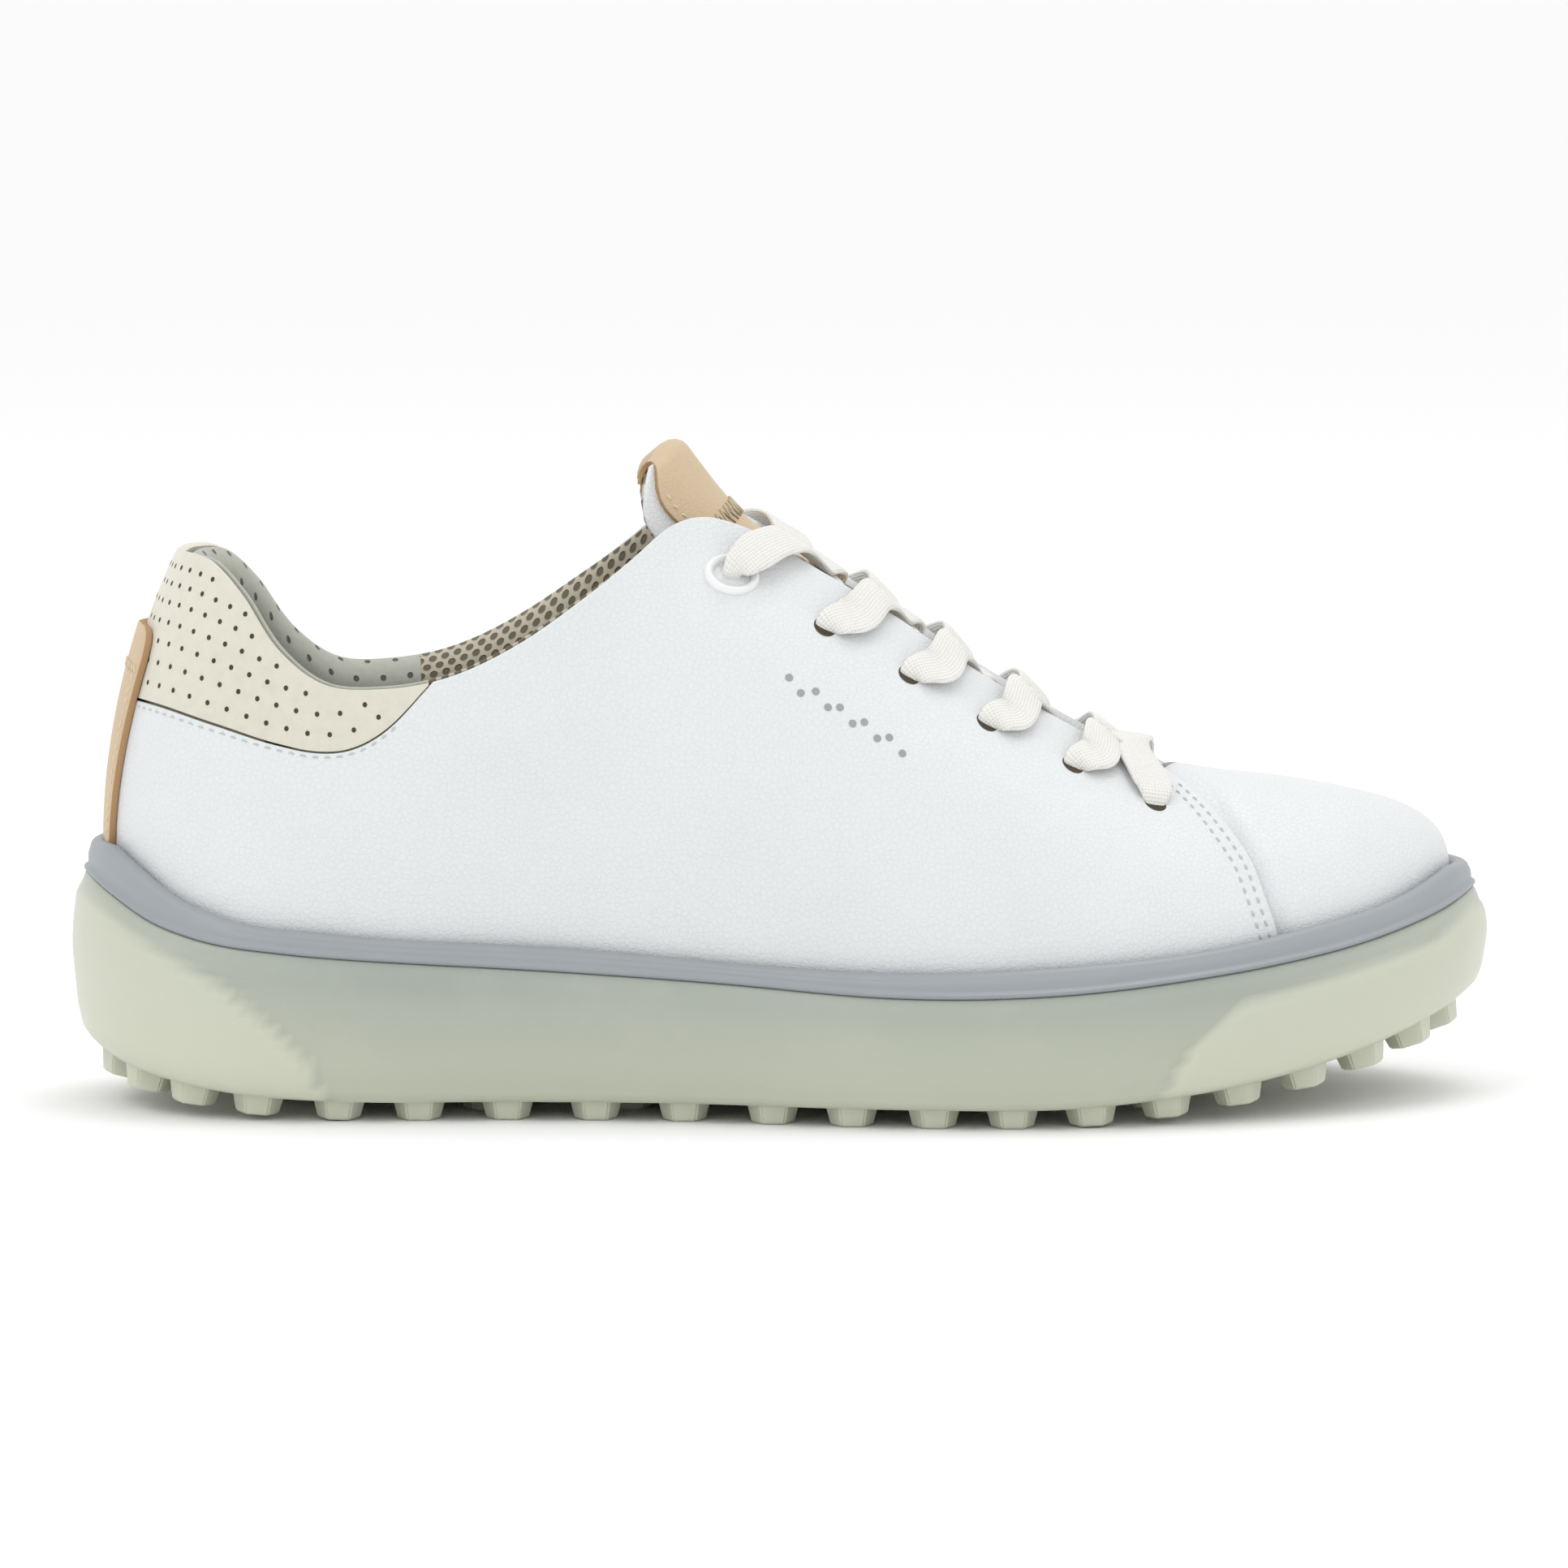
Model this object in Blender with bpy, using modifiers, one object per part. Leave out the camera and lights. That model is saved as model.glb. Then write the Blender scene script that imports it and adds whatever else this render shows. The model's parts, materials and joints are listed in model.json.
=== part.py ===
"""Golf shoe for the right foot, size EU 38, laced and standing on its studs.

Frame: +X from heel to toe, +Y to the wearer's left (the inner side), +Z up.
The origin is at the bottom centre of the shoe's box, on the ground.
All sizes below are in millimetres. MM turns them into Blender's metres.
"""

import math

import bmesh
import bpy
import numpy as np
from mathutils import Matrix, Vector

MM = 0.001
LATERAL, MEDIAL = -1, 1
SIDES = {"lateral": LATERAL, "medial": MEDIAL}

# ---- driving dimensions -------------------------------------------------------------------------

# Plan outline of the outsole, from the middle of the heel to the toe tip, for each side (x, |y|).
OUTLINE = {
    LATERAL: [(-135, 0), (-131, -16), (-122, -28), (-107, -36), (-85, -38.5), (-50, -38), (-20, -41),
              (10, -48.5), (35, -52), (60, -50.5), (85, -43), (105, -32), (120, -19.5), (131, -5), (135, 8)],
    MEDIAL: [(-135, 0), (-131, 16), (-122, 28), (-107, 36), (-85, 37.5), (-50, 34.5), (-20, 34.5),
             (10, 40.5), (35, 48.5), (62, 52), (90, 50), (110, 43), (125, 31.5), (133, 19), (135, 8)],
}
FEATHER_INSET = 7.3          # from the outsole's edge in to the upper's outer face

# Heights along the shoe (x, z).
RIM_TOP = [(-131, 50), (-126, 47), (-116, 41.4), (-107, 38.2), (-86, 35.4), (-40, 32.4), (-5, 29.9),
           (20, 29.2), (50, 30.3), (81, 32.8), (100, 35.7), (120, 39.8), (131, 44)]
RIM_LOW = [(-134, 43.5), (-128.5, 40.6), (-121, 36.8), (-112, 34), (-95, 31.6), (-70, 29.7), (-40, 27.9),
           (-10, 26.1), (20, 24.4), (50, 25), (76, 27.3), (90, 28.9), (115, 33.1), (126, 36), (134, 38.8)]
FLOOR = [(-130, 31), (-100, 29), (-60, 27.5), (0, 22.5), (30, 20.8), (60, 22.3), (90, 26), (130, 33.5)]
SOLE_BASE = [(-136, 12.5), (-126, 9.2), (-117, 7.3), (-100, 5), (-85, 4.1), (-72, 3.8), (-60, 3.8),
             (-50, 3.8), (30, 3.8), (40, 3.8), (50, 3.9), (67, 5), (82, 6.6), (97, 9), (115, 13.2),
             (125, 16.3), (136, 20.5)]

# Top line of the upper: share of the half outline, then x, half width y, z.
TOP_LINE = [
    (0, -115, 0, 105), (.05, -113, 10.5, 105.2), (.10, -108, 18.5, 104), (.15, -101.5, 24.5, 97.5),
    (.19, -95, 28.5, 88), (.23, -86.5, 31.5, 81.8), (.27, -76, 33.5, 81), (.32, -62, 34.5, 83.6),
    (.36, -50, 34.5, 89.4), (.40, -38, 33, 97.7), (.435, -28.5, 30, 105.2), (.46, -22, 26.5, 110.6),
    (.485, -15.5, 23, 112.3), (.51, -8, 19.6, 110.2), (.55, 4, 17.3, 103.2), (.60, 20, 15.6, 93.4),
    (.65, 36, 14.2, 82.6), (.70, 52, 12.4, 73.1), (.74, 64, 9.6, 66.8), (.765, 71, 6, 64.2),
    (.785, 75, 0, 63.6), (.84, 82, 0, 62.2), (.90, 89, 0, 61.2), (.95, 93.5, 0, 60.5), (1, 97, 0, 60)]
THROAT_END = .785            # where the top line reaches the ridge of the toe
RIDGE_SHIFT = [(0, 0), (.4, 0), (.7, 0), (.75, .2), (.85, 1.9), (1, 4.5)]    # the toe's ridge moves inward

# Section shape of the upper along the outline: lean of its two ends, and how far each end pulls.
LEAN_OUT = [(0, 4), (.2, 5), (.5, 6), (.8, 7), (1, 9)]
TOP_SLOPE = [(0, 62), (.1, 68), (.2, 80), (.42, 80), (.47, 64), (.52, 40), (.6, 30), (.72, 22),
             (.785, 3), (.84, 0), (1, 0)]
RIDGE_FALL = [(0, 0), (.48, 0), (.55, -.6), (.7, -.6), (.77, -.35), (.84, -.16), (1, -.14)]
PULL_LOW = [(0, .35), (.25, .36), (.5, .36), (.7, .33), (.85, .3), (1, .4)]
PULL_TOP = [(0, .24), (.25, .28), (.5, .36), (.7, .42), (.85, .5), (1, .58)]

# Seams: collar panel's lower edge and front panel's rear edge (x, z) and (z, x).
COLLAR_SEAM = [(-125, 77.5), (-119, 77), (-107, 74), (-95, 70.5), (-88, 69.2), (-82, 69.6), (-78, 71.2),
               (-74, 74), (-70.5, 77.5), (-66, 84)]
VAMP_SEAM = [(20, 92.5), (34, 91.6), (42, 89), (48, 86.8), (53, 83.6), (58.6, 78.6), (62, 74.2),
             (64.2, 70.8), (70, 66)]

# Thickness and place of each layer, measured in from the outer face of the upper.
LEATHER = 1.6
LAP_DEPTH, LAP_LENGTH = 2.1, .015    # the front panel dips under the quarters
STIFFENER_DEPTH, STIFFENER = 2.0, 1.1
EYESTAY_DEPTH, EYESTAY = 2.1, .7
LINING_DEPTH, LINING, LAP_ROOM = 3.5, .9, .8
PADDING = 3.6                        # extra depth of the lining behind the padded collar
PADDED_END, PADDED_LOW = .43, .62    # the padding reaches this station, and down to this level
HEEL_LINING_END = .28
LINING_SEAM_REAR, LINING_SEAM_FRONT = -.004, .010    # where the linings end, from the front panel's seam

# Lacing. Eyelet centres (x, z) from the top pair to the bottom pair.
EYELETS = [(-10.8, 101.8), (7, 92), (22.2, 83), (37.3, 74), (53.4, 65.6), (69.2, 58.4)]
HOLE_RADIUS = 2.6
GROMMET_LONG, GROMMET_FLANGE, GROMMET_BARREL, GROMMET_WALL, GROMMET_LIP = 1.05, 4.2, 3.2, .6, .9
LACE_WIDTH, LACE_THICK = 6.6, 1.3
LACE_WIDTH_IN_HOLE, LACE_THICK_IN_HOLE = 3.4, 1.7
LACE_CLEAR, LACE_CROSSING, LACE_OVER = 1.0, 1.8, 2.1
LACE_UNDER = LINING_DEPTH + LINING + 1.5
AGLET_RADIUS, AGLET_LENGTH = 1.1, 11

# Tongue: share of its length, centre line x and z, cross-section half axes across and down, half angle.
TONGUE = [(0, 84, 49.3, 28, 20, 30), (.1, 75.5, 53.4, 28, 22, 34), (.25, 60, 62.1, 26, 22, 40),
          (.45, 38, 77.4, 24, 24, 50), (.65, 17, 91.6, 23, 26, 60), (.8, 1, 102.4, 21, 24, 64),
          (.9, -10.5, 112.6, 19, 22, 66), (.965, -17.2, 120.9, 18, 22, 64), (1, -20.6, 125.6, 18, 22, 48)]
TONGUE_LEATHER, TONGUE_FOAM, TONGUE_LINING = 1.2, 2.6, .9
LABEL_START, LABEL_THICK = 7, 1.0    # the label starts at this twelfth of the tongue's length

# Steel shank under the arch.
SHANK_X, SHANK_LENGTH, SHANK_WIDTH, SHANK_THICK = -30, 84, 14, 1.3
MIDSOLE_TOP = 1.6            # how far the top of the midsole lies under the floor line

# Studs under the outsole.
STUD_HEIGHT, STUD_TIP, STUD_ROOT, STUD_SINK = 3.8, 4.1, 5.4, 1.2
STUD_PITCH, STUD_EDGE = 16, 9.5

GAP = .3                             # clearance between neighbouring pieces
HEEL_SEAM, SEAM_GAP = .0012, .006    # half gap at the heel seam, gap at the collar seam, as shares
HEEL_STRIP = 1.4                     # thickness of the strip down the heel

# Stations round the half outline that every layer shares, so that their facets stay parallel.
STATIONS = [0, .03, .06, .09, .12, .15, .19, .23, .27, .31, .35, .39, .43, .46, .49, .52, .56, .61,
            .66, .71, .75, .785, .82, .855, .89, .925, .96, 1]
LEVELS = [-1, 0, .14, .3, .46, .62, .78, .9, 1]

MATERIALS = {
    "white_leather": ((.86, .87, .87), .5, 0), "nubuck": ((.74, .70, .58), .85, 0),
    "tan_leather": ((.78, .58, .38), .55, 0), "lining_suede": ((.52, .52, .45), .9, 0),
    "lining_mesh": ((.6, .55, .43), .95, 0), "grey_rubber": ((.42, .45, .47), .55, 0),
    "clear_rubber": ((.68, .71, .58), .35, 0), "foam": ((.8, .76, .62), .95, 0),
    "board": ((.5, .4, .28), .9, 0), "stiffener": ((.7, .66, .55), .8, 0),
    "lace": ((.93, .92, .87), .9, 0), "eyelet": ((.92, .92, .92), .4, 0),
    "steel": ((.55, .56, .58), .35, 1), "aglet": ((.9, .9, .88), .25, 0),
}


# ---- curves and surfaces ------------------------------------------------------------------------

def through(keys):
    """A smooth curve through keys of (parameter, values...), as a function of the parameter."""
    at = np.array([k[0] for k in keys], float)
    values = np.array([k[1:] for k in keys], float)
    slopes = np.gradient(values, at, axis=0)

    def curve(x):
        x = np.clip(np.asarray(x, float), at[0], at[-1])
        i = np.clip(np.searchsorted(at, x) - 1, 0, len(at) - 2)
        step = at[i + 1] - at[i]
        q = ((x - at[i]) / step)[..., None]
        step = step[..., None]
        out = ((2 * q**3 - 3 * q**2 + 1) * values[i] + (q**3 - 2 * q**2 + q) * step * slopes[i]
               + (3 * q**2 - 2 * q**3) * values[i + 1] + (q**3 - q**2) * step * slopes[i + 1])
        return out[..., 0] if values.shape[1] == 1 else out

    return curve


def closed_outline():
    """The outsole's plan outline as two dense half curves by arc length: x, y and outward normal."""
    loop = OUTLINE[LATERAL] + OUTLINE[MEDIAL][-2:0:-1]
    points = np.array(loop + loop[:2] + loop[:1], float)[:len(loop) + 1]
    wrapped = np.vstack([points[-4:-1], points, points[1:4]])
    chord = np.concatenate([[0], np.cumsum(np.hypot(*np.diff(wrapped, axis=0).T))])
    curve = through([(c, *p) for c, p in zip(chord, wrapped)])
    toe = len(OUTLINE[LATERAL]) - 1
    halves = {}
    for side, start, end in ((LATERAL, 3, 3 + toe), (MEDIAL, 3 + len(loop), 3 + toe)):
        at = np.linspace(chord[start], chord[end], 900)
        line = curve(at)
        arc = np.concatenate([[0], np.cumsum(np.hypot(*np.diff(line, axis=0).T))])
        tangent = np.gradient(curve(np.linspace(chord[start], chord[end], 900)), arc, axis=0)
        tangent /= np.linalg.norm(tangent, axis=1)[:, None]
        normal = np.stack([-side * tangent[:, 1], side * tangent[:, 0]], axis=1)
        normal[0] = (-1, 0)
        halves[side] = (arc / arc[-1], line, normal)
    toe_normal = halves[LATERAL][2][-1] + halves[MEDIAL][2][-1]
    toe_normal /= np.linalg.norm(toe_normal)
    halves[LATERAL][2][-1] = halves[MEDIAL][2][-1] = toe_normal
    return halves


HALVES = closed_outline()
rim_top, rim_low, floor, sole_base = (through(k) for k in (RIM_TOP, RIM_LOW, FLOOR, SOLE_BASE))
top_line, ridge_shift = through(TOP_LINE), through(RIDGE_SHIFT)
lean_out, top_slope, ridge_fall = through(LEAN_OUT), through(TOP_SLOPE), through(RIDGE_FALL)
pull_low, pull_top = through(PULL_LOW), through(PULL_TOP)
collar_seam, vamp_seam = through(COLLAR_SEAM), through(VAMP_SEAM)


def plan(side, u, inset):
    """Plan points at share u of the half outline, moved in by inset, and their outward normals."""
    share, line, normal = HALVES[side]
    u = np.asarray(u, float)
    at = np.stack([np.interp(u, share, line[:, k]) for k in (0, 1)], axis=-1)
    out = np.stack([np.interp(u, share, normal[:, k]) for k in (0, 1)], axis=-1)
    out /= np.linalg.norm(out, axis=-1, keepdims=True)
    return at - out * np.asarray(inset, float)[..., None], out


def upper(side, u, t):
    """The upper's outer face: t is 0 at the feather line, 1 at the top line, and -1 at the floor."""
    u, t = np.broadcast_arrays(np.asarray(u, float), np.asarray(t, float))
    foot, out = plan(side, u, FEATHER_INSET)
    foot_z = rim_top(foot[..., 0]) - 4
    low = np.concatenate([foot, foot_z[..., None]], axis=-1)
    top = top_line(u).copy()
    half_width = np.where(u >= THROAT_END, 0, np.maximum(top[..., 1], 0))
    top[..., 1] = side * half_width + ridge_shift(u)
    up = np.array([0, 0, 1.])
    out3 = np.concatenate([out, np.zeros_like(out[..., :1])], axis=-1)
    across = out3 + up * (ridge_fall(u) * out[..., 0])[..., None]
    lean, slope = np.radians(lean_out(u))[..., None], np.radians(top_slope(u))[..., None]
    chord = np.linalg.norm(top - low, axis=-1, keepdims=True)
    handle_low = low + (up * np.cos(lean) + out3 * np.sin(lean)) * chord * pull_low(u)[..., None]
    handle_top = top + (across * np.cos(slope) - up * np.sin(slope)) * chord * pull_top(u)[..., None]
    q = np.clip(t, 0, 1)[..., None]
    face = ((1 - q)**3 * low + 3 * (1 - q)**2 * q * handle_low
            + 3 * (1 - q) * q**2 * handle_top + q**3 * top)
    skirt = np.clip(-t, 0, 1)[..., None]
    drop = (foot_z - floor(foot[..., 0]) - .8)[..., None]
    return face - skirt * (up * drop + out3 * 1.0)


def slope_normal(side, u, t):
    """The outer face's unit normals from its slopes along and up the shoe."""
    step = 1e-3
    t = np.clip(np.asarray(t, float), 0, 1)
    along = upper(side, np.minimum(u + step, 1), t) - upper(side, np.maximum(u - step, 0), t)
    rise = upper(side, u, np.minimum(t + step, 1)) - upper(side, u, np.maximum(t - step, 0))
    normal = np.cross(along, rise) * -side
    return normal / np.linalg.norm(normal, axis=-1, keepdims=True)


def outward(side, u, t):
    """Unit normals of the upper's outer face, pointing out. On the toe's ridge both sides agree."""
    u, t = np.broadcast_arrays(np.asarray(u, float), np.asarray(t, float))
    top = np.where(u >= THROAT_END, .94, 1)
    normal = slope_normal(side, u, np.minimum(t, top))
    ahead, behind = top_line(np.minimum(u + .01, 1)), top_line(np.maximum(u - .01, 0))
    ridge = np.stack([behind[..., 2] - ahead[..., 2], 0 * u, ahead[..., 0] - behind[..., 0]], axis=-1)
    ridge /= np.linalg.norm(ridge, axis=-1, keepdims=True)
    near = np.where(u >= THROAT_END, np.clip((t - .94) / .06, 0, 1), 0)[..., None]
    normal = normal * (1 - near) + ridge * near
    middle = middle_normal(side, u, t)
    near = np.clip(1 - np.minimum(u, 1 - u) / .02, 0, 1)[..., None]
    near = np.where((u > .5)[..., None] & (t > .94)[..., None], 0, near)
    normal = normal * (1 - near) + middle * near
    return normal / np.linalg.norm(normal, axis=-1, keepdims=True)


def middle_normal(side, u, t):
    """Normals in the upright plane through the outline's own normal, for the heel and toe middles."""
    low = np.clip(t - .02, 0, .96)
    rise = upper(side, u, low + .04) - upper(side, u, low)
    _, out = plan(side, u, 0 * u)
    reach = (rise[..., :2] * out).sum(axis=-1, keepdims=True)
    normal = np.concatenate([out * rise[..., 2:], -reach], axis=-1)
    return normal / np.linalg.norm(normal, axis=-1, keepdims=True)


def layer(side, u, t, depth):
    """A point depth millimetres in from the upper's outer face."""
    return upper(side, u, t) - outward(side, u, t) * np.asarray(depth, float)[..., None]


def share_where(test, low, high):
    """The parameter between low and high where test changes from true to false."""
    for _ in range(30):
        middle = (low + high) / 2
        low, high = (middle, high) if test(middle) else (low, middle)
    return (low + high) / 2


def collar_level(side, u):
    """The level t of the collar panel's lower seam."""
    def below(t):
        x, _, z = upper(side, u, t)
        return z < collar_seam(x)
    return share_where(below, .2, 1)


def vamp_station(side, t):
    """The station u of the front panel's rear seam."""
    def behind(u):
        x, _, z = upper(side, u, t)
        return x < vamp_seam(z)
    return share_where(behind, .6, .95)


def locate(side, x, z):
    """The station and level of the point of the upper with this x and z."""
    u, t = np.meshgrid(np.linspace(.4, .85, 181), np.linspace(.3, 1, 141))
    points = upper(side, u, t)
    best = np.argmin((points[..., 0] - x)**2 + (points[..., 2] - z)**2)
    return u.flat[best], t.flat[best]


# ---- making objects -----------------------------------------------------------------------------

def clear_scene():
    for obj in list(bpy.data.objects):
        bpy.data.objects.remove(obj)


def make_collection(name, hidden=False):
    collection = bpy.data.collections.new(name)
    collection.hide_render = hidden
    bpy.context.scene.collection.children.link(collection)
    return collection


def make_material(name):
    colour, roughness, metallic = MATERIALS[name]
    material = bpy.data.materials.new(name)
    material.use_nodes = True
    shader = material.node_tree.nodes["Principled BSDF"]
    shader.inputs["Base Color"].default_value = (*colour, 1)
    shader.inputs["Roughness"].default_value = roughness
    shader.inputs["Metallic"].default_value = metallic
    return material


def make_object(name, points, faces, material, collection=None, weld=False):
    """An object from points in millimetres and faces, its normals made to agree."""
    mesh = bpy.data.meshes.new(name)
    mesh.from_pydata([Vector(p) * MM for p in points], [], faces)
    work = bmesh.new()
    work.from_mesh(mesh)
    if weld:
        bmesh.ops.remove_doubles(work, verts=work.verts, dist=1e-6)
    bmesh.ops.recalc_face_normals(work, faces=work.faces)
    work.to_mesh(mesh)
    work.free()
    mesh.shade_smooth()
    mesh.set_sharp_from_angle(angle=math.radians(40))
    obj = bpy.data.objects.new(name, mesh)
    (collection or SHOE).objects.link(obj)
    obj.data.materials.append(PAINTS[material])
    return obj


def grid_faces(columns, rows, first=0):
    return [(first + c * rows + r, first + (c + 1) * rows + r,
             first + (c + 1) * rows + r + 1, first + c * rows + r + 1)
            for c in range(columns - 1) for r in range(rows - 1)]


def thicken(obj, thickness):
    """Gives an open sheet its thickness, away from the side that its normals point to."""
    solid = obj.modifiers.new("thickness", "SOLIDIFY")
    solid.thickness = thickness * MM
    solid.offset = -1
    return obj


def sheet(name, patches, thickness, material, inside=(0, 0, 40)):
    """A shell from patches, each a grid of points [column][row]. They face away from the inside point."""
    points, faces = [], []
    for patch in patches:
        patch = np.asarray(patch)
        faces += grid_faces(patch.shape[0], patch.shape[1], len(points))
        points += [tuple(p) for p in patch.reshape(-1, 3)]
    obj = make_object(name, points, faces, material, weld=True)
    centre = Vector(inside) * MM
    votes = sum(1 if (f.center - centre).dot(f.normal) > 0 else -1 for f in obj.data.polygons)
    if votes < 0:
        obj.data.flip_normals()
    return thicken(obj, thickness)


def ring_loft(name, rings, material):
    """A closed body from closed rings, the first and last of them filled straight across."""
    count = len(rings[0])
    points = [tuple(p) for ring in rings for p in ring]
    faces = [(i * count + k, i * count + (k + 1) % count,
              (i + 1) * count + (k + 1) % count, (i + 1) * count + k)
             for i in range(len(rings) - 1) for k in range(count)]
    for first in (0, (len(rings) - 1) * count):
        for k in range(count // 2):
            quad = [first + k, first + k + 1, first + (count - k - 1) % count, first + (count - k) % count]
            faces.append(tuple(dict.fromkeys(quad)))
    return make_object(name, points, faces, material)


def ring(inset, height, stations=STATIONS):
    """A closed ring round the shoe: down the lateral side to the toe and back on the medial side."""
    points = []
    for side, shares in ((LATERAL, stations), (MEDIAL, stations[-2:0:-1])):
        at, _ = plan(side, np.array(shares), np.full(len(shares), float(inset)))
        z = height(at[:, 0]) if callable(height) else np.full(len(shares), float(height))
        points += [(x, y, h) for (x, y), h in zip(at, z)]
    return points


def boolean(obj, other, operation):
    modifier = obj.modifiers.new(operation.lower(), "BOOLEAN")
    modifier.operation = operation
    modifier.object = other
    other.hide_render = True
    other.display_type = "WIRE"
    return modifier


# ---- sole ---------------------------------------------------------------------------------------

def shifted(height, by):
    return lambda x: height(x) + by


def between(low, high, share):
    return lambda x: low(x) * (1 - share) + high(x) * share


def stud_places():
    """(x, y) of each stud: a row along the edge of each side, and staggered rows inside."""
    places = []
    for side in (LATERAL, MEDIAL):
        line = HALVES[side][1]
        length = np.hypot(*np.diff(line, axis=0).T).sum()
        count = round(length / STUD_PITCH)
        for i in range(count):
            at, _ = plan(side, (i + .5) / count, STUD_EDGE)
            places.append(tuple(at))
    edge = list(places)
    for row, x in enumerate(np.arange(-112, 120, STUD_PITCH * .86)):
        for y in np.arange(-48, 49, STUD_PITCH) + (STUD_PITCH / 2 if row % 2 else 0):
            inside = min(math.hypot(x - a, y - b) for a, b in edge)
            widths = [abs(np.interp(x, HALVES[s][1][:, 0], HALVES[s][1][:, 1])) for s in (LATERAL, MEDIAL)]
            if inside > STUD_PITCH * .74 and -widths[0] + 2 * STUD_EDGE < y < widths[1] - 2 * STUD_EDGE:
                places.append((x, y))
    return places


def make_studs():
    work = bmesh.new()
    depth = STUD_HEIGHT + STUD_SINK
    for x, y in stud_places():
        fall = float(sole_base(x + 1) - sole_base(x - 1)) / 2
        tilt = Matrix.Rotation(-math.atan(fall), 4, "Y")
        base = Vector((x, y, float(sole_base(x)))) * MM
        lift = Matrix.Translation((0, 0, (STUD_SINK - depth / 2) * MM))
        bmesh.ops.create_cone(work, cap_ends=True, segments=6, radius1=STUD_TIP * MM, radius2=STUD_ROOT * MM,
                              depth=depth * MM, matrix=Matrix.Translation(base) @ tilt @ lift
                              @ Matrix.Rotation(math.pi / 6, 4, "Z"))
    mesh = bpy.data.meshes.new("studs")
    work.to_mesh(mesh)
    work.free()
    studs = bpy.data.objects.new("studs", mesh)
    CUTTERS.objects.link(studs)
    return studs


def make_outsole():
    lip = shifted(rim_low, 0)
    rings = [ring(4.5, sole_base), ring(1.6, shifted(sole_base, 2.0)), ring(.2, shifted(sole_base, 7)),
             ring(0, between(sole_base, rim_low, .62)), ring(1.2, shifted(rim_low, -3)), ring(2.6, lip),
             ring(4.6, shifted(rim_low, -.6)), ring(5.2, shifted(sole_base, 9)),
             ring(8, shifted(sole_base, 3.4))]
    outsole = ring_loft("outsole", rings, "clear_rubber")
    boolean(outsole, make_studs(), "UNION")
    return outsole


def make_midsole():
    """Injected grey body: fills the outsole and stands proud of it as the rim that holds the upper."""
    rings = [ring(9.2, shifted(sole_base, 4.0)), ring(5.8, shifted(sole_base, 9.6)),
             ring(5.2, shifted(rim_low, -.4)), ring(4.9, shifted(rim_low, .4)),
             ring(2.6, shifted(rim_low, .6)),
             ring(2.4, between(rim_low, rim_top, .45)), ring(3.4, shifted(rim_top, -.9)),
             ring(4.9, shifted(rim_top, -.1)), ring(6.1, shifted(rim_top, -.3)),
             ring(6.8, shifted(rim_top, -4.4)),
             ring(7.5, shifted(floor, -MIDSOLE_TOP))]
    return ring_loft("midsole", rings, "grey_rubber")


def make_shank(midsole):
    """Spring steel strip in a recess in the top of the midsole, under the arch."""
    rear, front = (float(floor(x)) for x in (SHANK_X - SHANK_LENGTH / 2, SHANK_X + SHANK_LENGTH / 2))
    tilt = Matrix.Rotation(math.atan2(rear - front, SHANK_LENGTH), 4, "Y")
    top = Matrix.Translation(Vector((SHANK_X, -1, (rear + front) / 2 - MIDSOLE_TOP)) * MM) @ tilt
    shank = make_box("shank", (SHANK_LENGTH, SHANK_WIDTH, SHANK_THICK), "steel")
    shank.matrix_world = top @ Matrix.Translation((0, 0, (-SHANK_THICK / 2 - GAP) * MM))
    size = (SHANK_LENGTH + 2 * GAP, SHANK_WIDTH + 2 * GAP, SHANK_THICK * 4)
    recess = make_box("shank_recess", size, "steel", CUTTERS)
    recess.matrix_world = top @ Matrix.Translation((0, 0, -2 * GAP * MM))
    recess.matrix_world = recess.matrix_world @ Matrix.Translation((0, 0, SHANK_THICK * MM))
    boolean(midsole, recess, "DIFFERENCE")


def make_box(name, size, material, collection=None):
    work = bmesh.new()
    bmesh.ops.create_cube(work, size=1)
    bmesh.ops.scale(work, vec=Vector(size) * MM, verts=work.verts)
    mesh = bpy.data.meshes.new(name)
    work.to_mesh(mesh)
    work.free()
    obj = bpy.data.objects.new(name, mesh)
    (collection or SHOE).objects.link(obj)
    obj.data.materials.append(PAINTS[material])
    return obj


def make_board():
    rings = [ring(8.2, shifted(floor, -1.3)), ring(8.2, shifted(floor, .3))]
    return ring_loft("insole_board", rings, "board")


def make_footbed():
    """Removable footbed: a foam body with a raised heel cup, and a thin cover on it."""
    edge = FEATHER_INSET + LINING_DEPTH + LINING + LAP_ROOM + 2.6
    cup = through([(-135, 7), (-100, 6), (-60, 4.2), (0, 2.2), (60, 1.2), (135, .8)])
    foam_top = lambda x: floor(x) + 4.6
    rings = [ring(edge + 2, shifted(floor, .7)), ring(edge + .2, lambda x: floor(x) + 1.6),
             ring(edge, lambda x: foam_top(x) + cup(x) * .8),
             ring(edge + 1.6, lambda x: foam_top(x) + cup(x)),
             ring(edge + 8, lambda x: foam_top(x) + cup(x) * .15), ring(edge + 14, foam_top)]
    ring_loft("footbed_foam", rings, "foam")
    cover_low = lambda x: foam_top(x) + .4
    rings = [ring(edge + 14, cover_low), ring(edge + 8, lambda x: cover_low(x) + cup(x) * .15),
             ring(edge + 1.8, lambda x: cover_low(x) + cup(x)),
             ring(edge + 1.8, lambda x: cover_low(x) + 1 + cup(x)),
             ring(edge + 8, lambda x: cover_low(x) + 1 + cup(x) * .15),
             ring(edge + 14, shifted(cover_low, 1))]
    ring_loft("footbed_cover", rings, "lining_suede")


# ---- upper --------------------------------------------------------------------------------------

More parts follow.
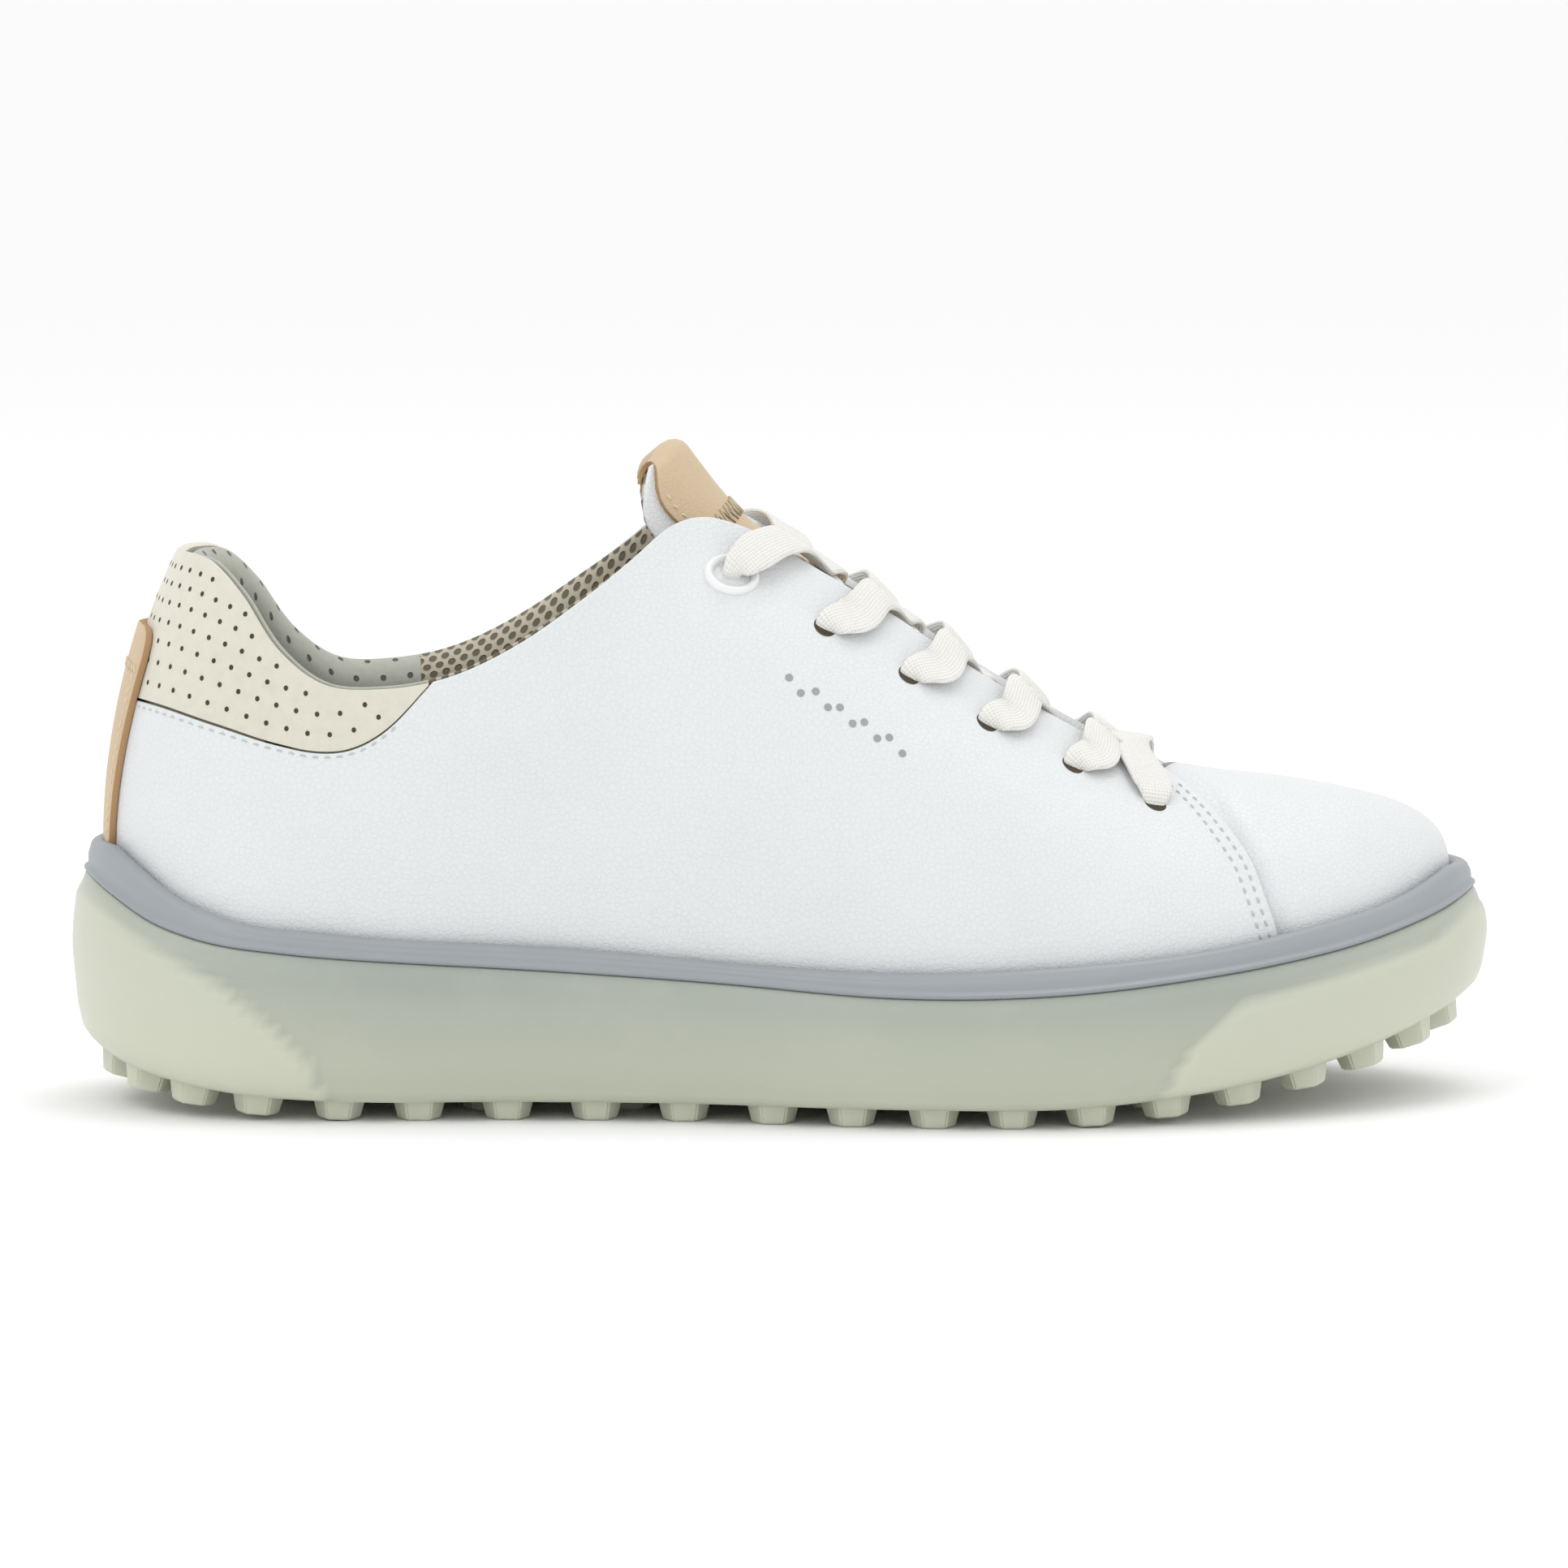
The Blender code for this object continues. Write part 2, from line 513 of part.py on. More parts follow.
def column(side, u, levels, depth=0.0):
    """One line of points up the upper at station u, or at one station for each level."""
    levels = np.asarray(levels, float)
    stations = np.broadcast_to(np.asarray(u, float), levels.shape)
    return layer(side, stations, levels, np.broadcast_to(np.asarray(depth, float), levels.shape))


def make_quarter(name, side):
    """Side panel from the heel seam to the front seam, its top edge cut down where the collar panel is."""
    end = collar_end(side)
    fronts = np.array([vamp_station(side, t) for t in LEVELS])
    grid = []
    for u in [HEEL_SEAM] + [u for u in side_stations(side) if HEEL_SEAM < u < .70]:
        top = collar_level(side, u) - SEAM_GAP if u < end else 1.0
        grid.append(column(side, u, [t if t <= 0 else t * top for t in LEVELS]))
        last = u
    for share in (.35, .7, 1):
        grid.append(column(side, last + (fronts - last) * share, LEVELS))
    return sheet(name, [grid], LEATHER, "white_leather")


def collar_end(side):
    """The station where the collar panel's lower seam runs out into the top line."""
    return share_where(lambda u: collar_level(side, u) < .985, .2, .4)


def side_stations(side):
    end = collar_end(side)
    return sorted([u for u in STATIONS if abs(u - end) > .012] + [end - .012, end])


def make_vamp():
    """Front panel over the toes. Its rear edge dips under the quarters."""
    patches = []
    for side in (LATERAL, MEDIAL):
        seam = np.array([vamp_station(side, t) for t in LEVELS])
        grid = []
        for past, depth in ((-LAP_LENGTH, LAP_DEPTH), (.004, LAP_DEPTH), (.022, .25)):
            grid.append(column(side, seam + past, LEVELS, depth))
        for share in (.3, .6, 1):
            grid.append(column(side, seam + .022 + (.925 - seam - .022) * share, LEVELS))
        for u in (.96, 1.0):
            grid.append(column(side, u, LEVELS))
        patches.append(grid)
    return sheet("vamp", patches, LEATHER, "white_leather")


def make_collar():
    """Perforated nubuck panel round the top of the heel."""
    grid = []
    for side in (LATERAL, MEDIAL):
        reach = [u for u in side_stations(side) if u < collar_end(side)]
        for u in (reach[::-1] if side == LATERAL else reach[1:]):
            grid.append(column(side, u, np.linspace(collar_level(side, u) + SEAM_GAP, 1, 5)))
    return sheet("collar_panel", [grid], LEATHER, "nubuck")


def padding(u, t):
    """Extra depth of the lining behind the padded top edge."""
    along = np.clip((PADDED_END - u) / .06, 0, 1)
    up = np.clip((t - PADDED_LOW) / .15, 0, 1) * np.clip((1.06 - t) / .12, 0, 1)
    return PADDING * along * up


def lining_depth(u, t):
    """Depth of the lining: behind the padding, and deeper where the front panel laps under."""
    return LINING_DEPTH + padding(u, t) + LAP_ROOM * np.clip((u - .66) / .06, 0, 1)


def make_lining(name, side, stations, material, levels=LEVELS):
    """Lining of one side between two stations. The side may be a pair, joined at the heel or toe."""
    patches = []
    for one in (side if isinstance(side, tuple) else (side,)):
        patches.append([column(one, u, levels, lining_depth(u, np.array(levels))) for u in stations])
    return sheet(name, patches, LINING, material)


def make_vamp_lining():
    """Lining of the toe, both sides joined along the ridge."""
    patches = []
    for side in (LATERAL, MEDIAL):
        rear = np.array([vamp_station(side, t) for t in LEVELS]) + LINING_SEAM_FRONT
        stations = [rear + (.925 - rear) * share for share in (0, .33, .66, 1)] + [.96, 1.0]
        patches.append([column(side, u, LEVELS, lining_depth(u, np.array(LEVELS))) for u in stations])
    return sheet("vamp_lining", patches, LINING, "lining_mesh")


def make_band(name, sides, stations, levels, depth, thickness, material):
    """A constant band of the upper between stations and levels, at a depth under the outer face."""
    patches = [[column(side, u, levels, depth) for u in stations] for side in sides]
    return sheet(name, patches, thickness, material)


def make_collar_foam():
    """Soft filling between the collar and its lining, thick in the middle of its height."""
    levels = np.array([.66, .78, .9, .97])
    rings = []
    for side in (LATERAL, MEDIAL):
        stations = [u for u in STATIONS if u <= PADDED_END - .03]
        for u in (stations[::-1] if side == LATERAL else stations[1:]):
            outer = column(side, u, levels, LEATHER + GAP + .2)
            inner = column(side, u, levels, lining_depth(u, levels) - 2 * GAP)
            rings.append([tuple(p) for p in outer] + [tuple(p) for p in inner[::-1]])
    return ring_loft("collar_foam", rings, "foam")


def make_heel_strip():
    """Leather strip down the back of the heel, wider at its rounded top."""
    levels = [.09, .17, .27, .37, .48, .58, .65, .69, .705]
    half_width = [10.8, 11, 11.6, 12.4, 13.4, 14.2, 14.4, 13, 10.5]
    half_length = np.hypot(*np.diff(HALVES[LATERAL][1], axis=0).T).sum()
    grid = []
    for share in (-1, -.7, -.35, 0, .35, .7, 1):
        side = LATERAL if share < 0 else MEDIAL
        stations = np.abs(share) * np.array(half_width) / half_length
        grid.append(column(side, stations, levels, -HEEL_STRIP - GAP))
    return sheet("heel_strip", [grid], HEEL_STRIP, "tan_leather")


def eyelet_frame(side, index):
    """Place of an eyelet: its point, outward normal, and the direction along the eyestay to the heel."""
    u, t = locate(side, *EYELETS[index])
    point, normal = upper(side, u, t), outward(side, u, t)
    along = upper(side, u - .01, t) - upper(side, u + .01, t)
    along -= normal * along.dot(normal)
    return point, normal, along / np.linalg.norm(along)


def axes_matrix(point, across, along, normal):
    """The matrix that puts a shape's X on along, Y on across and Z on normal, at the point."""
    matrix = Matrix([[along[k], across[k], normal[k], point[k] * MM] for k in range(3)] + [[0, 0, 0, 1]])
    return matrix


def make_hole_cutter(name, side):
    """Punches for one side's eyelets: five round ones and an oval one at the top."""
    work = bmesh.new()
    for index in range(len(EYELETS)):
        point, normal, along = eyelet_frame(side, index)
        across = np.cross(normal, along)
        radius = (GROMMET_BARREL + GAP if index == 0 else HOLE_RADIUS) * MM
        stretch = (radius + GROMMET_LONG * MM) / radius if index == 0 else 1
        place = axes_matrix(point - normal * 2.5, across, along, normal)
        bmesh.ops.create_cone(work, cap_ends=True, segments=10, radius1=radius, radius2=radius, depth=11 * MM,
                              matrix=place @ Matrix.Diagonal((stretch, 1, 1, 1)))
    mesh = bpy.data.meshes.new(name)
    work.to_mesh(mesh)
    work.free()
    cutter = bpy.data.objects.new(name, mesh)
    CUTTERS.objects.link(cutter)
    return cutter


def make_top_eyelet(name, side):
    """Oval grommet: a flange outside, a barrel through the eyestay and a clinched flange inside."""
    point, normal, along = eyelet_frame(side, 0)
    across = np.cross(normal, along)
    back = -(LINING_DEPTH + LINING + GAP + .7)
    bore = GROMMET_BARREL - GROMMET_WALL
    profile = [(bore, back - .5), (bore, GROMMET_LIP * .7), (bore + .6, GROMMET_LIP + GAP),
               (GROMMET_FLANGE - .4, GROMMET_LIP + GAP), (GROMMET_FLANGE, GROMMET_LIP * .6),
               (GROMMET_FLANGE, GAP),
               (GROMMET_BARREL, GAP), (GROMMET_BARREL, back), (GROMMET_BARREL + .5, back),
               (GROMMET_BARREL + .5, back - .5)]
    count = 16
    points = []
    for k in range(count):
        angle = 2 * math.pi * k / count
        for radius, height in profile:
            points.append(point + along * (radius + GROMMET_LONG) * math.cos(angle)
                          + across * radius * math.sin(angle) + normal * height)
    rows = len(profile)
    faces = [(k * rows + r, (k + 1) % count * rows + r,
              (k + 1) % count * rows + (r + 1) % rows, k * rows + (r + 1) % rows)
             for k in range(count) for r in range(rows)]
    return make_object(name, points, faces, "eyelet")


# ---- tongue -------------------------------------------------------------------------------------

tongue_line = through(TONGUE)


def tongue(share, turn, depth=0.0):
    """A point of the tongue: share of its length, turn from -1 (lateral edge) to 1, depth under its face."""
    x, z, wide, deep, angle = tongue_line(share)
    before, after = tongue_line(max(share - .01, 0)), tongue_line(min(share + .01, 1))
    run = np.array([after[0] - before[0], 0, after[1] - before[1]])
    run /= np.linalg.norm(run)
    up = np.array([run[2], 0, -run[0]])
    turn = math.radians(angle) * turn
    across = np.array([0, 1., 0])
    face = np.array([x, 0, z]) + across * wide * math.sin(turn) - up * deep * (1 - math.cos(turn))
    normal = across * math.sin(turn) / wide + up * math.cos(turn) / deep
    normal /= np.linalg.norm(normal)
    return face - normal * depth, normal


def tongue_sheet(name, twelfths, quarters, depth, thickness, material):
    """A layer of the tongue over a span of its twelfths and of the quarters of each half width."""
    grid = [[tongue(min(row / 12, .995), turn / 4, depth)[0] for row in range(twelfths[0], twelfths[1] + 1)]
            for turn in range(-quarters, quarters + 1)]
    return sheet(name, [grid], thickness, material, inside=(40, 0, 30))


def make_tongue():
    middle = TONGUE_LEATHER + GAP + .2
    back = middle + TONGUE_FOAM + GAP + .2
    tongue_sheet("tongue_outer", (0, 12), 4, 0, TONGUE_LEATHER, "white_leather")
    tongue_sheet("tongue_foam", (1, 12), 3, middle, TONGUE_FOAM, "foam")
    tongue_sheet("tongue_lining", (0, 12), 4, back, TONGUE_LINING, "lining_mesh")
    tongue_sheet("tongue_label", (LABEL_START, 12), 2, -LABEL_THICK - GAP, LABEL_THICK, "tan_leather")


# ---- lace ---------------------------------------------------------------------------------------

def share_beside(index):
    """The share of the tongue that lies beside an eyelet pair."""
    x, z = EYELETS[index]
    shares = np.linspace(0, 1, 201)
    line = tongue_line(shares)
    return shares[np.argmin((line[:, 0] - x)**2 + (line[:, 1] - z)**2)]


def over_edge(side, index, ahead):
    """The lace lying over the throat's edge beside an eyelet, moved along it by a share."""
    u, _ = locate(side, *EYELETS[index])
    _, _, along = eyelet_frame(side, index)
    return layer(side, u + ahead, 1, -LACE_OVER), along, 1


def near_hole(side, index, toward_throat, height, full):
    """The lace at a distance from an eyelet and a height over the outer face there."""
    point, normal, along = eyelet_frame(side, index)
    across = np.cross(normal, along)
    if across[1] * side > 0:
        across = -across
    return point + across * toward_throat + normal * height, along, full


def through_hole(side, index):
    """The lace dips into a hole from outside and turns back under the eyestay."""
    proud = GROMMET_LIP + GAP if index == 0 else 0
    under = LACE_UNDER + (1.2 if index == 0 else .2 if index < 4 else LAP_ROOM)
    return [near_hole(side, index, 3.6, proud + 1.2, .7), near_hole(side, index, 1.6, proud + 1.3, .3),
            near_hole(side, index, .5, proud + .6, 0), near_hole(side, index, 0, -1.2, 0),
            near_hole(side, index, 0, -3.8, 0), near_hole(side, index, .5, -under + .5, 0),
            near_hole(side, index, 2, -under, .4)]


def over_tongue(share, turn, height):
    """The lace over the tongue, clear of the label where there is one."""
    label = LABEL_THICK + GAP if share > LABEL_START / 12 - .04 else 0
    point, normal = tongue(share, turn)
    ahead, _ = tongue(min(share + .02, 1), turn)
    behind, _ = tongue(max(share - .02, 0), turn)
    return point + normal * (height + label), (ahead - behind) / np.linalg.norm(ahead - behind), 1


def crossing(side, index, over):
    """From under the eyestay beside one pair, over the tongue, to outside the next pair up."""
    start, end = share_beside(index), share_beside(index - 1)
    lowest = index == len(EYELETS) - 1
    lift = LACE_CLEAR + (LACE_CROSSING if over else 0)
    route = [over_tongue(start + (end - start) * part, side * turn, height)
             for part, turn, height in ((.05, .66, LACE_CLEAR), (.2, .42, LACE_CLEAR + .1), (.36, .2, lift),
                                        (.5, 0, lift), (.66, -.2, lift + (.45 if lowest else 0)))]
    return route + [over_edge(-side, index - 1, -.005 if lowest else .004)]


def lace_half(side):
    """One half of the lace from the bottom pair to the tucked tail inside the top pair."""
    route = []
    for index in range(len(EYELETS) - 1, 0, -1):
        route += through_hole(side, index) + crossing(side, index, side == MEDIAL)
        side = -side
    route += through_hole(side, 0)[:-1]
    u, t = locate(side, *EYELETS[0])
    _, _, along = eyelet_frame(side, 0)
    for fall in (.05, .1, .2, .28):
        route.append((layer(side, u - .1 * fall, t - fall, LACE_UNDER + .8 + 8 * fall), along, .8))
    return route


def make_lace():
    """The flat lace, one piece: tail, six pairs of holes with a bar over the bottom pair, tail."""
    last = len(EYELETS) - 1
    edges = [over_edge(side, last, 0) for side in (LATERAL, MEDIAL)]
    middle = (edges[0][0] + edges[1][0]) / 2 + np.array([.2, 0, .6])
    route = lace_half(LATERAL)[::-1] + [edges[0], (middle, edges[0][1], 1), edges[1]] + lace_half(MEDIAL)
    points = np.array([p for p, _, _ in route])
    distance = np.concatenate([[0], np.cumsum(np.linalg.norm(np.diff(points, axis=0), axis=1))])
    run = np.gradient(points, distance, axis=0)
    run /= np.linalg.norm(run, axis=1)[:, None]
    rings = []
    for (point, along, share), way in zip(route, run):
        wide = along - way * along.dot(way)
        wide /= np.linalg.norm(wide)
        up = np.cross(wide, way)
        w = LACE_WIDTH_IN_HOLE + (LACE_WIDTH - LACE_WIDTH_IN_HOLE) * share
        h = LACE_THICK_IN_HOLE + (LACE_THICK - LACE_THICK_IN_HOLE) * share
        rings.append([tuple(point + wide * w * a + up * h * b) for a, b in
                      ((-.5, 0), (-.38, -.5), (.38, -.5), (.5, 0), (.38, .5), (-.38, .5))])
    ring_loft("lace", rings, "lace")
    make_aglet("aglet_1", points[0], -run[0])
    make_aglet("aglet_2", points[-1], run[-1])


def make_aglet(name, point, way):
    """The plastic tip at one end of the lace."""
    work = bmesh.new()
    turn = Vector(way).to_track_quat("Z", "Y").to_matrix().to_4x4()
    place = Matrix.Translation(Vector(point + way * (AGLET_LENGTH / 2 + GAP)) * MM) @ turn
    radius = AGLET_RADIUS * MM
    bmesh.ops.create_cone(work, cap_ends=True, segments=8, radius1=radius, radius2=radius,
                          depth=AGLET_LENGTH * MM, matrix=place)
    mesh = bpy.data.meshes.new(name)
    work.to_mesh(mesh)
    work.free()
    obj = bpy.data.objects.new(name, mesh)
    SHOE.objects.link(obj)
    obj.data.materials.append(PAINTS["aglet"])


def make_upper():
    make_vamp()
    make_collar()
    make_collar_foam()
    make_heel_strip()
    both = (LATERAL, MEDIAL)
    low, high = STATIONS.index(.31), STATIONS.index(.71)
    make_band("heel_counter", both, [u for u in STATIONS if u < .2], LEVELS[:6], STIFFENER_DEPTH,
              STIFFENER, "stiffener")
    make_band("toe_puff", both, [.94, .96, 1], LEVELS[:7], STIFFENER_DEPTH, STIFFENER, "stiffener")
    make_lining("heel_lining", both, [u for u in STATIONS if u < HEEL_LINING_END], "lining_suede")
    make_vamp_lining()
    for name, side in SIDES.items():
        holes = make_hole_cutter(f"eyelet_holes_{name}", side)
        seam = np.array([vamp_station(side, t) for t in LEVELS])
        stations = [HEEL_LINING_END] + STATIONS[low:high]
        stations += [stations[-1] + (seam + LINING_SEAM_REAR - stations[-1]) * share for share in (.5, 1)]
        panels = [make_quarter(f"quarter_{name}", side),
                  make_lining(f"quarter_lining_{name}", side, stations, "lining_mesh"),
                  make_band(f"eyestay_{name}", (side,), [u for u in STATIONS if .45 < u < .72],
                            [.78, .9, .985], EYESTAY_DEPTH, EYESTAY, "stiffener")]
        for panel in panels:
            boolean(panel, holes, "DIFFERENCE")
        make_top_eyelet(f"top_eyelet_{name}", side)


def main():
    make_outsole()
    make_shank(make_midsole())
    make_board()
    make_footbed()
    make_upper()
    make_tongue()
    make_lace()


clear_scene()
SHOE = make_collection("golf_shoe")
CUTTERS = make_collection("cutters", hidden=True)
PAINTS = {name: make_material(name) for name in MATERIALS}
main()
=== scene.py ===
"""Looks of a laced golf shoe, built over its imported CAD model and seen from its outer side.

Frame: +X from heel to toe, +Y to the inner side, +Z up, with the ground at z = 0.
The sizes are in millimetres. MM turns them into Blender's metres.
"""

import math

import bmesh
import bpy
import numpy as np
from mathutils import Matrix, Vector
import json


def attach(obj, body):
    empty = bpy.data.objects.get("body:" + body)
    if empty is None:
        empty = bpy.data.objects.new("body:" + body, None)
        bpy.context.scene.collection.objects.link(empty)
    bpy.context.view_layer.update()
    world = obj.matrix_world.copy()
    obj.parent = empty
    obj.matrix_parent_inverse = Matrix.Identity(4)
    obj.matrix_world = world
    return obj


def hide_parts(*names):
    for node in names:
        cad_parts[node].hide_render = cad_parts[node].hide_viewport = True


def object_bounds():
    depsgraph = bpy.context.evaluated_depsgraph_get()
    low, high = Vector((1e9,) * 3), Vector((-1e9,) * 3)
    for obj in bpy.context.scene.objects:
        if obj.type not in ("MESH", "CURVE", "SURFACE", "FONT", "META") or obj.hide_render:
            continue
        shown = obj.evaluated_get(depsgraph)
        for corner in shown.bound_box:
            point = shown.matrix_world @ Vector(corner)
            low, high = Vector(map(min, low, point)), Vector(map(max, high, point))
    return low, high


MM = 0.001
LATERAL, MEDIAL = -1, 1
SIDES = {"lateral": LATERAL, "medial": MEDIAL}

# ---- driving dimensions, the same as in the part -------------------------------------------------

# Plan outline of the outsole, from the middle of the heel to the toe tip, for each side (x, |y|).
OUTLINE = {
    LATERAL: [(-135, 0), (-131, -16), (-122, -28), (-107, -36), (-85, -38.5), (-50, -38), (-20, -41),
              (10, -48.5), (35, -52), (60, -50.5), (85, -43), (105, -32), (120, -19.5), (131, -5), (135, 8)],
    MEDIAL: [(-135, 0), (-131, 16), (-122, 28), (-107, 36), (-85, 37.5), (-50, 34.5), (-20, 34.5),
             (10, 40.5), (35, 48.5), (62, 52), (90, 50), (110, 43), (125, 31.5), (133, 19), (135, 8)],
}
FEATHER_INSET = 7.3          # from the outsole's edge in to the upper's outer face

# Heights along the shoe (x, z).
RIM_TOP = [(-131, 50), (-126, 47), (-116, 41.4), (-107, 38.2), (-86, 35.4), (-40, 32.4), (-5, 29.9),
           (20, 29.2), (50, 30.3), (81, 32.8), (100, 35.7), (120, 39.8), (131, 44)]
RIM_LOW = [(-134, 43.5), (-128.5, 40.6), (-121, 36.8), (-112, 34), (-95, 31.6), (-70, 29.7), (-40, 27.9),
           (-10, 26.1), (20, 24.4), (50, 25), (76, 27.3), (90, 28.9), (115, 33.1), (126, 36), (134, 38.8)]
FLOOR = [(-130, 31), (-100, 29), (-60, 27.5), (0, 22.5), (30, 20.8), (60, 22.3), (90, 26), (130, 33.5)]
SOLE_BASE = [(-136, 12.5), (-126, 9.2), (-117, 7.3), (-100, 5), (-85, 4.1), (-72, 3.8), (-60, 3.8),
             (-50, 3.8), (30, 3.8), (40, 3.8), (50, 3.9), (67, 5), (82, 6.6), (97, 9), (115, 13.2),
             (125, 16.3), (136, 20.5)]

# Top line of the upper: share of the half outline, then x, half width y, z.
TOP_LINE = [
    (0, -115, 0, 105), (.05, -113, 10.5, 105.2), (.10, -108, 18.5, 104), (.15, -101.5, 24.5, 97.5),
    (.19, -95, 28.5, 88), (.23, -86.5, 31.5, 81.8), (.27, -76, 33.5, 81), (.32, -62, 34.5, 83.6),
    (.36, -50, 34.5, 89.4), (.40, -38, 33, 97.7), (.435, -28.5, 30, 105.2), (.46, -22, 26.5, 110.6),
    (.485, -15.5, 23, 112.3), (.51, -8, 19.6, 110.2), (.55, 4, 17.3, 103.2), (.60, 20, 15.6, 93.4),
    (.65, 36, 14.2, 82.6), (.70, 52, 12.4, 73.1), (.74, 64, 9.6, 66.8), (.765, 71, 6, 64.2),
    (.785, 75, 0, 63.6), (.84, 82, 0, 62.2), (.90, 89, 0, 61.2), (.95, 93.5, 0, 60.5), (1, 97, 0, 60)]
THROAT_END = .785            # where the top line reaches the ridge of the toe
RIDGE_SHIFT = [(0, 0), (.4, 0), (.7, 0), (.75, .2), (.85, 1.9), (1, 4.5)]    # the toe's ridge moves inward

# Section shape of the upper along the outline: lean of its two ends, and how far each end pulls.
LEAN_OUT = [(0, 4), (.2, 5), (.5, 6), (.8, 7), (1, 9)]
TOP_SLOPE = [(0, 62), (.1, 68), (.2, 80), (.42, 80), (.47, 64), (.52, 40), (.6, 30), (.72, 22),
             (.785, 3), (.84, 0), (1, 0)]
RIDGE_FALL = [(0, 0), (.48, 0), (.55, -.6), (.7, -.6), (.77, -.35), (.84, -.16), (1, -.14)]
PULL_LOW = [(0, .35), (.25, .36), (.5, .36), (.7, .33), (.85, .3), (1, .4)]
PULL_TOP = [(0, .24), (.25, .28), (.5, .36), (.7, .42), (.85, .5), (1, .58)]

# Seams: collar panel's lower edge and front panel's rear edge (x, z) and (z, x).
COLLAR_SEAM = [(-125, 77.5), (-119, 77), (-107, 74), (-95, 70.5), (-88, 69.2), (-82, 69.6), (-78, 71.2),
               (-74, 74), (-70.5, 77.5), (-66, 83), (-60, 93), (-40, 140)]
VAMP_SEAM = [(20, 92.5), (34, 91.6), (42, 89), (48, 86.8), (53, 83.6), (58.6, 78.6), (62, 74.2),
             (64.2, 70.8), (70, 66)]

# Thickness and place of each layer, measured in from the outer face of the upper.
LEATHER = 1.6
COLLAR_LEATHER, COLLAR_SET = 1.5, .12    # the collar panel lies this much lower than the quarters
LINING_DEPTH, LINING, LAP_ROOM = 3.5, .9, .8
HEEL_LINING_END, QUARTER_LINING_START = .30, .292
COLUMNS_END = .70                    # behind here the columns stand upright, ahead they follow the seam
PANEL_GAP = .004                     # gap at a seam, as a share

# Lacing. Eyelet centres (x, z) from the top pair to the bottom pair.
EYELETS = [(-10.8, 101.8), (7, 92), (22.2, 83), (37.3, 74), (53.4, 65.6), (69.2, 58.4)]
HOLE_RADIUS = 2.6
GROMMET_LONG, GROMMET_FLANGE, GROMMET_BARREL, GROMMET_WALL, GROMMET_LIP = 1.05, 4.2, 3.2, .6, .9
LACE_WIDTH, LACE_THICK = 8.0, 1.25
LACE_WIDTH_IN_HOLE, LACE_THICK_IN_HOLE = 3.6, 1.9
LACE_CLEAR, LACE_CROSSING, LACE_OVER = 1.0, 1.8, 2.1
LACE_FORWARD = 8.5                   # how far a band runs toward the toe before it crosses
LACE_FORWARD_SHARE = LACE_FORWARD / 300
LACE_SLANT = .6                      # how far a band's width turns from the throat's edge
LACE_UNDER = LINING_DEPTH + LINING + 1.5
LACE_STEP = .7                       # spacing of the lace's sections

# Tongue: share of its length, centre line x and z, cross-section half axes across and down, half angle.
TONGUE = [(0, 84, 49.3, 28, 20, 30), (.1, 75.5, 53.4, 28, 22, 34), (.25, 60, 62.1, 26, 22, 40),
          (.45, 38, 77.4, 24, 24, 50), (.65, 17, 91.6, 23, 26, 60), (.8, 1, 102.4, 21, 24, 64),
          (.9, -10.5, 112.6, 19, 22, 66), (.965, -17.2, 120.9, 18, 22, 64), (1, -20.6, 125.6, 18, 22, 48)]
TONGUE_LEATHER = 1.2
LABEL_START, LABEL_THICK = 7, 1.0    # the label starts at this twelfth of the tongue's length
LABEL_LIFT = LABEL_THICK + .12       # the label's face over the tongue's
LABEL_BOTTOM, LABEL_TOP, LABEL_BACK_END = .58, .985, .90    # shares of the tongue's length
LABEL_BACK = 6.2                     # depth of the label's rear half under the tongue's face

# Studs under the outsole.
STUD_HEIGHT, STUD_TIP, STUD_ROOT, STUD_SINK = 3.8, 4.1, 5.4, 1.2
STUD_PITCH, STUD_EDGE = 16, 9.5

GAP = .3                             # clearance between neighbouring pieces
HEEL_SEAM = .0012                    # half gap at the heel seam, as a share
HEEL_STRIP = 1.4                     # thickness of the strip down the heel
STRIP_DEPTH = -HEEL_STRIP - .1       # its outer face lies this deep, which is outside the quarters

# Sidewall: facets at the heel and toe (x, z), their depth, and how softly they turn.
HEEL_FACET = [(-133, 41), (-125, 36), (-116, 31), (-106, 26), (-102, 23), (-96, 18), (-90, 12), (-86, 3)]
TOE_FACET = [(68, 3), (74, 14.7), (84, 23), (97, 25.5), (111, 28.5), (123, 31), (131, 36)]
FACET_DEPTH, FACET_EDGE, FACET_TINT_EDGE = 1.5, .4, .45

# Holes in the collar panel and vents in the quarters.
HOLE_SPACING, HOLE_ROW, COLLAR_HOLE = 5.6, 3.7, .45
VENT_SPACING, VENT_RADIUS = 4.6, .75
ZIGZAG_RADIUS = .3

# Camera and lamps, in metres and degrees.
CAMERA_PITCH, CAMERA_TURN, CAMERA_DISTANCE, CAMERA_LENS, CAMERA_AIM = 6, -1.5, 1.437, 173.3, .0597
FLOOR_REACH = 200
LAMPS = {"key": ((-.9, -1.0, 1.6), .8), "top": ((.3, .2, 1.6), .7)}
LAMP_POWER = 4.5

# ---- the shoe's own curves and surfaces, in millimetres -------------------------------------------

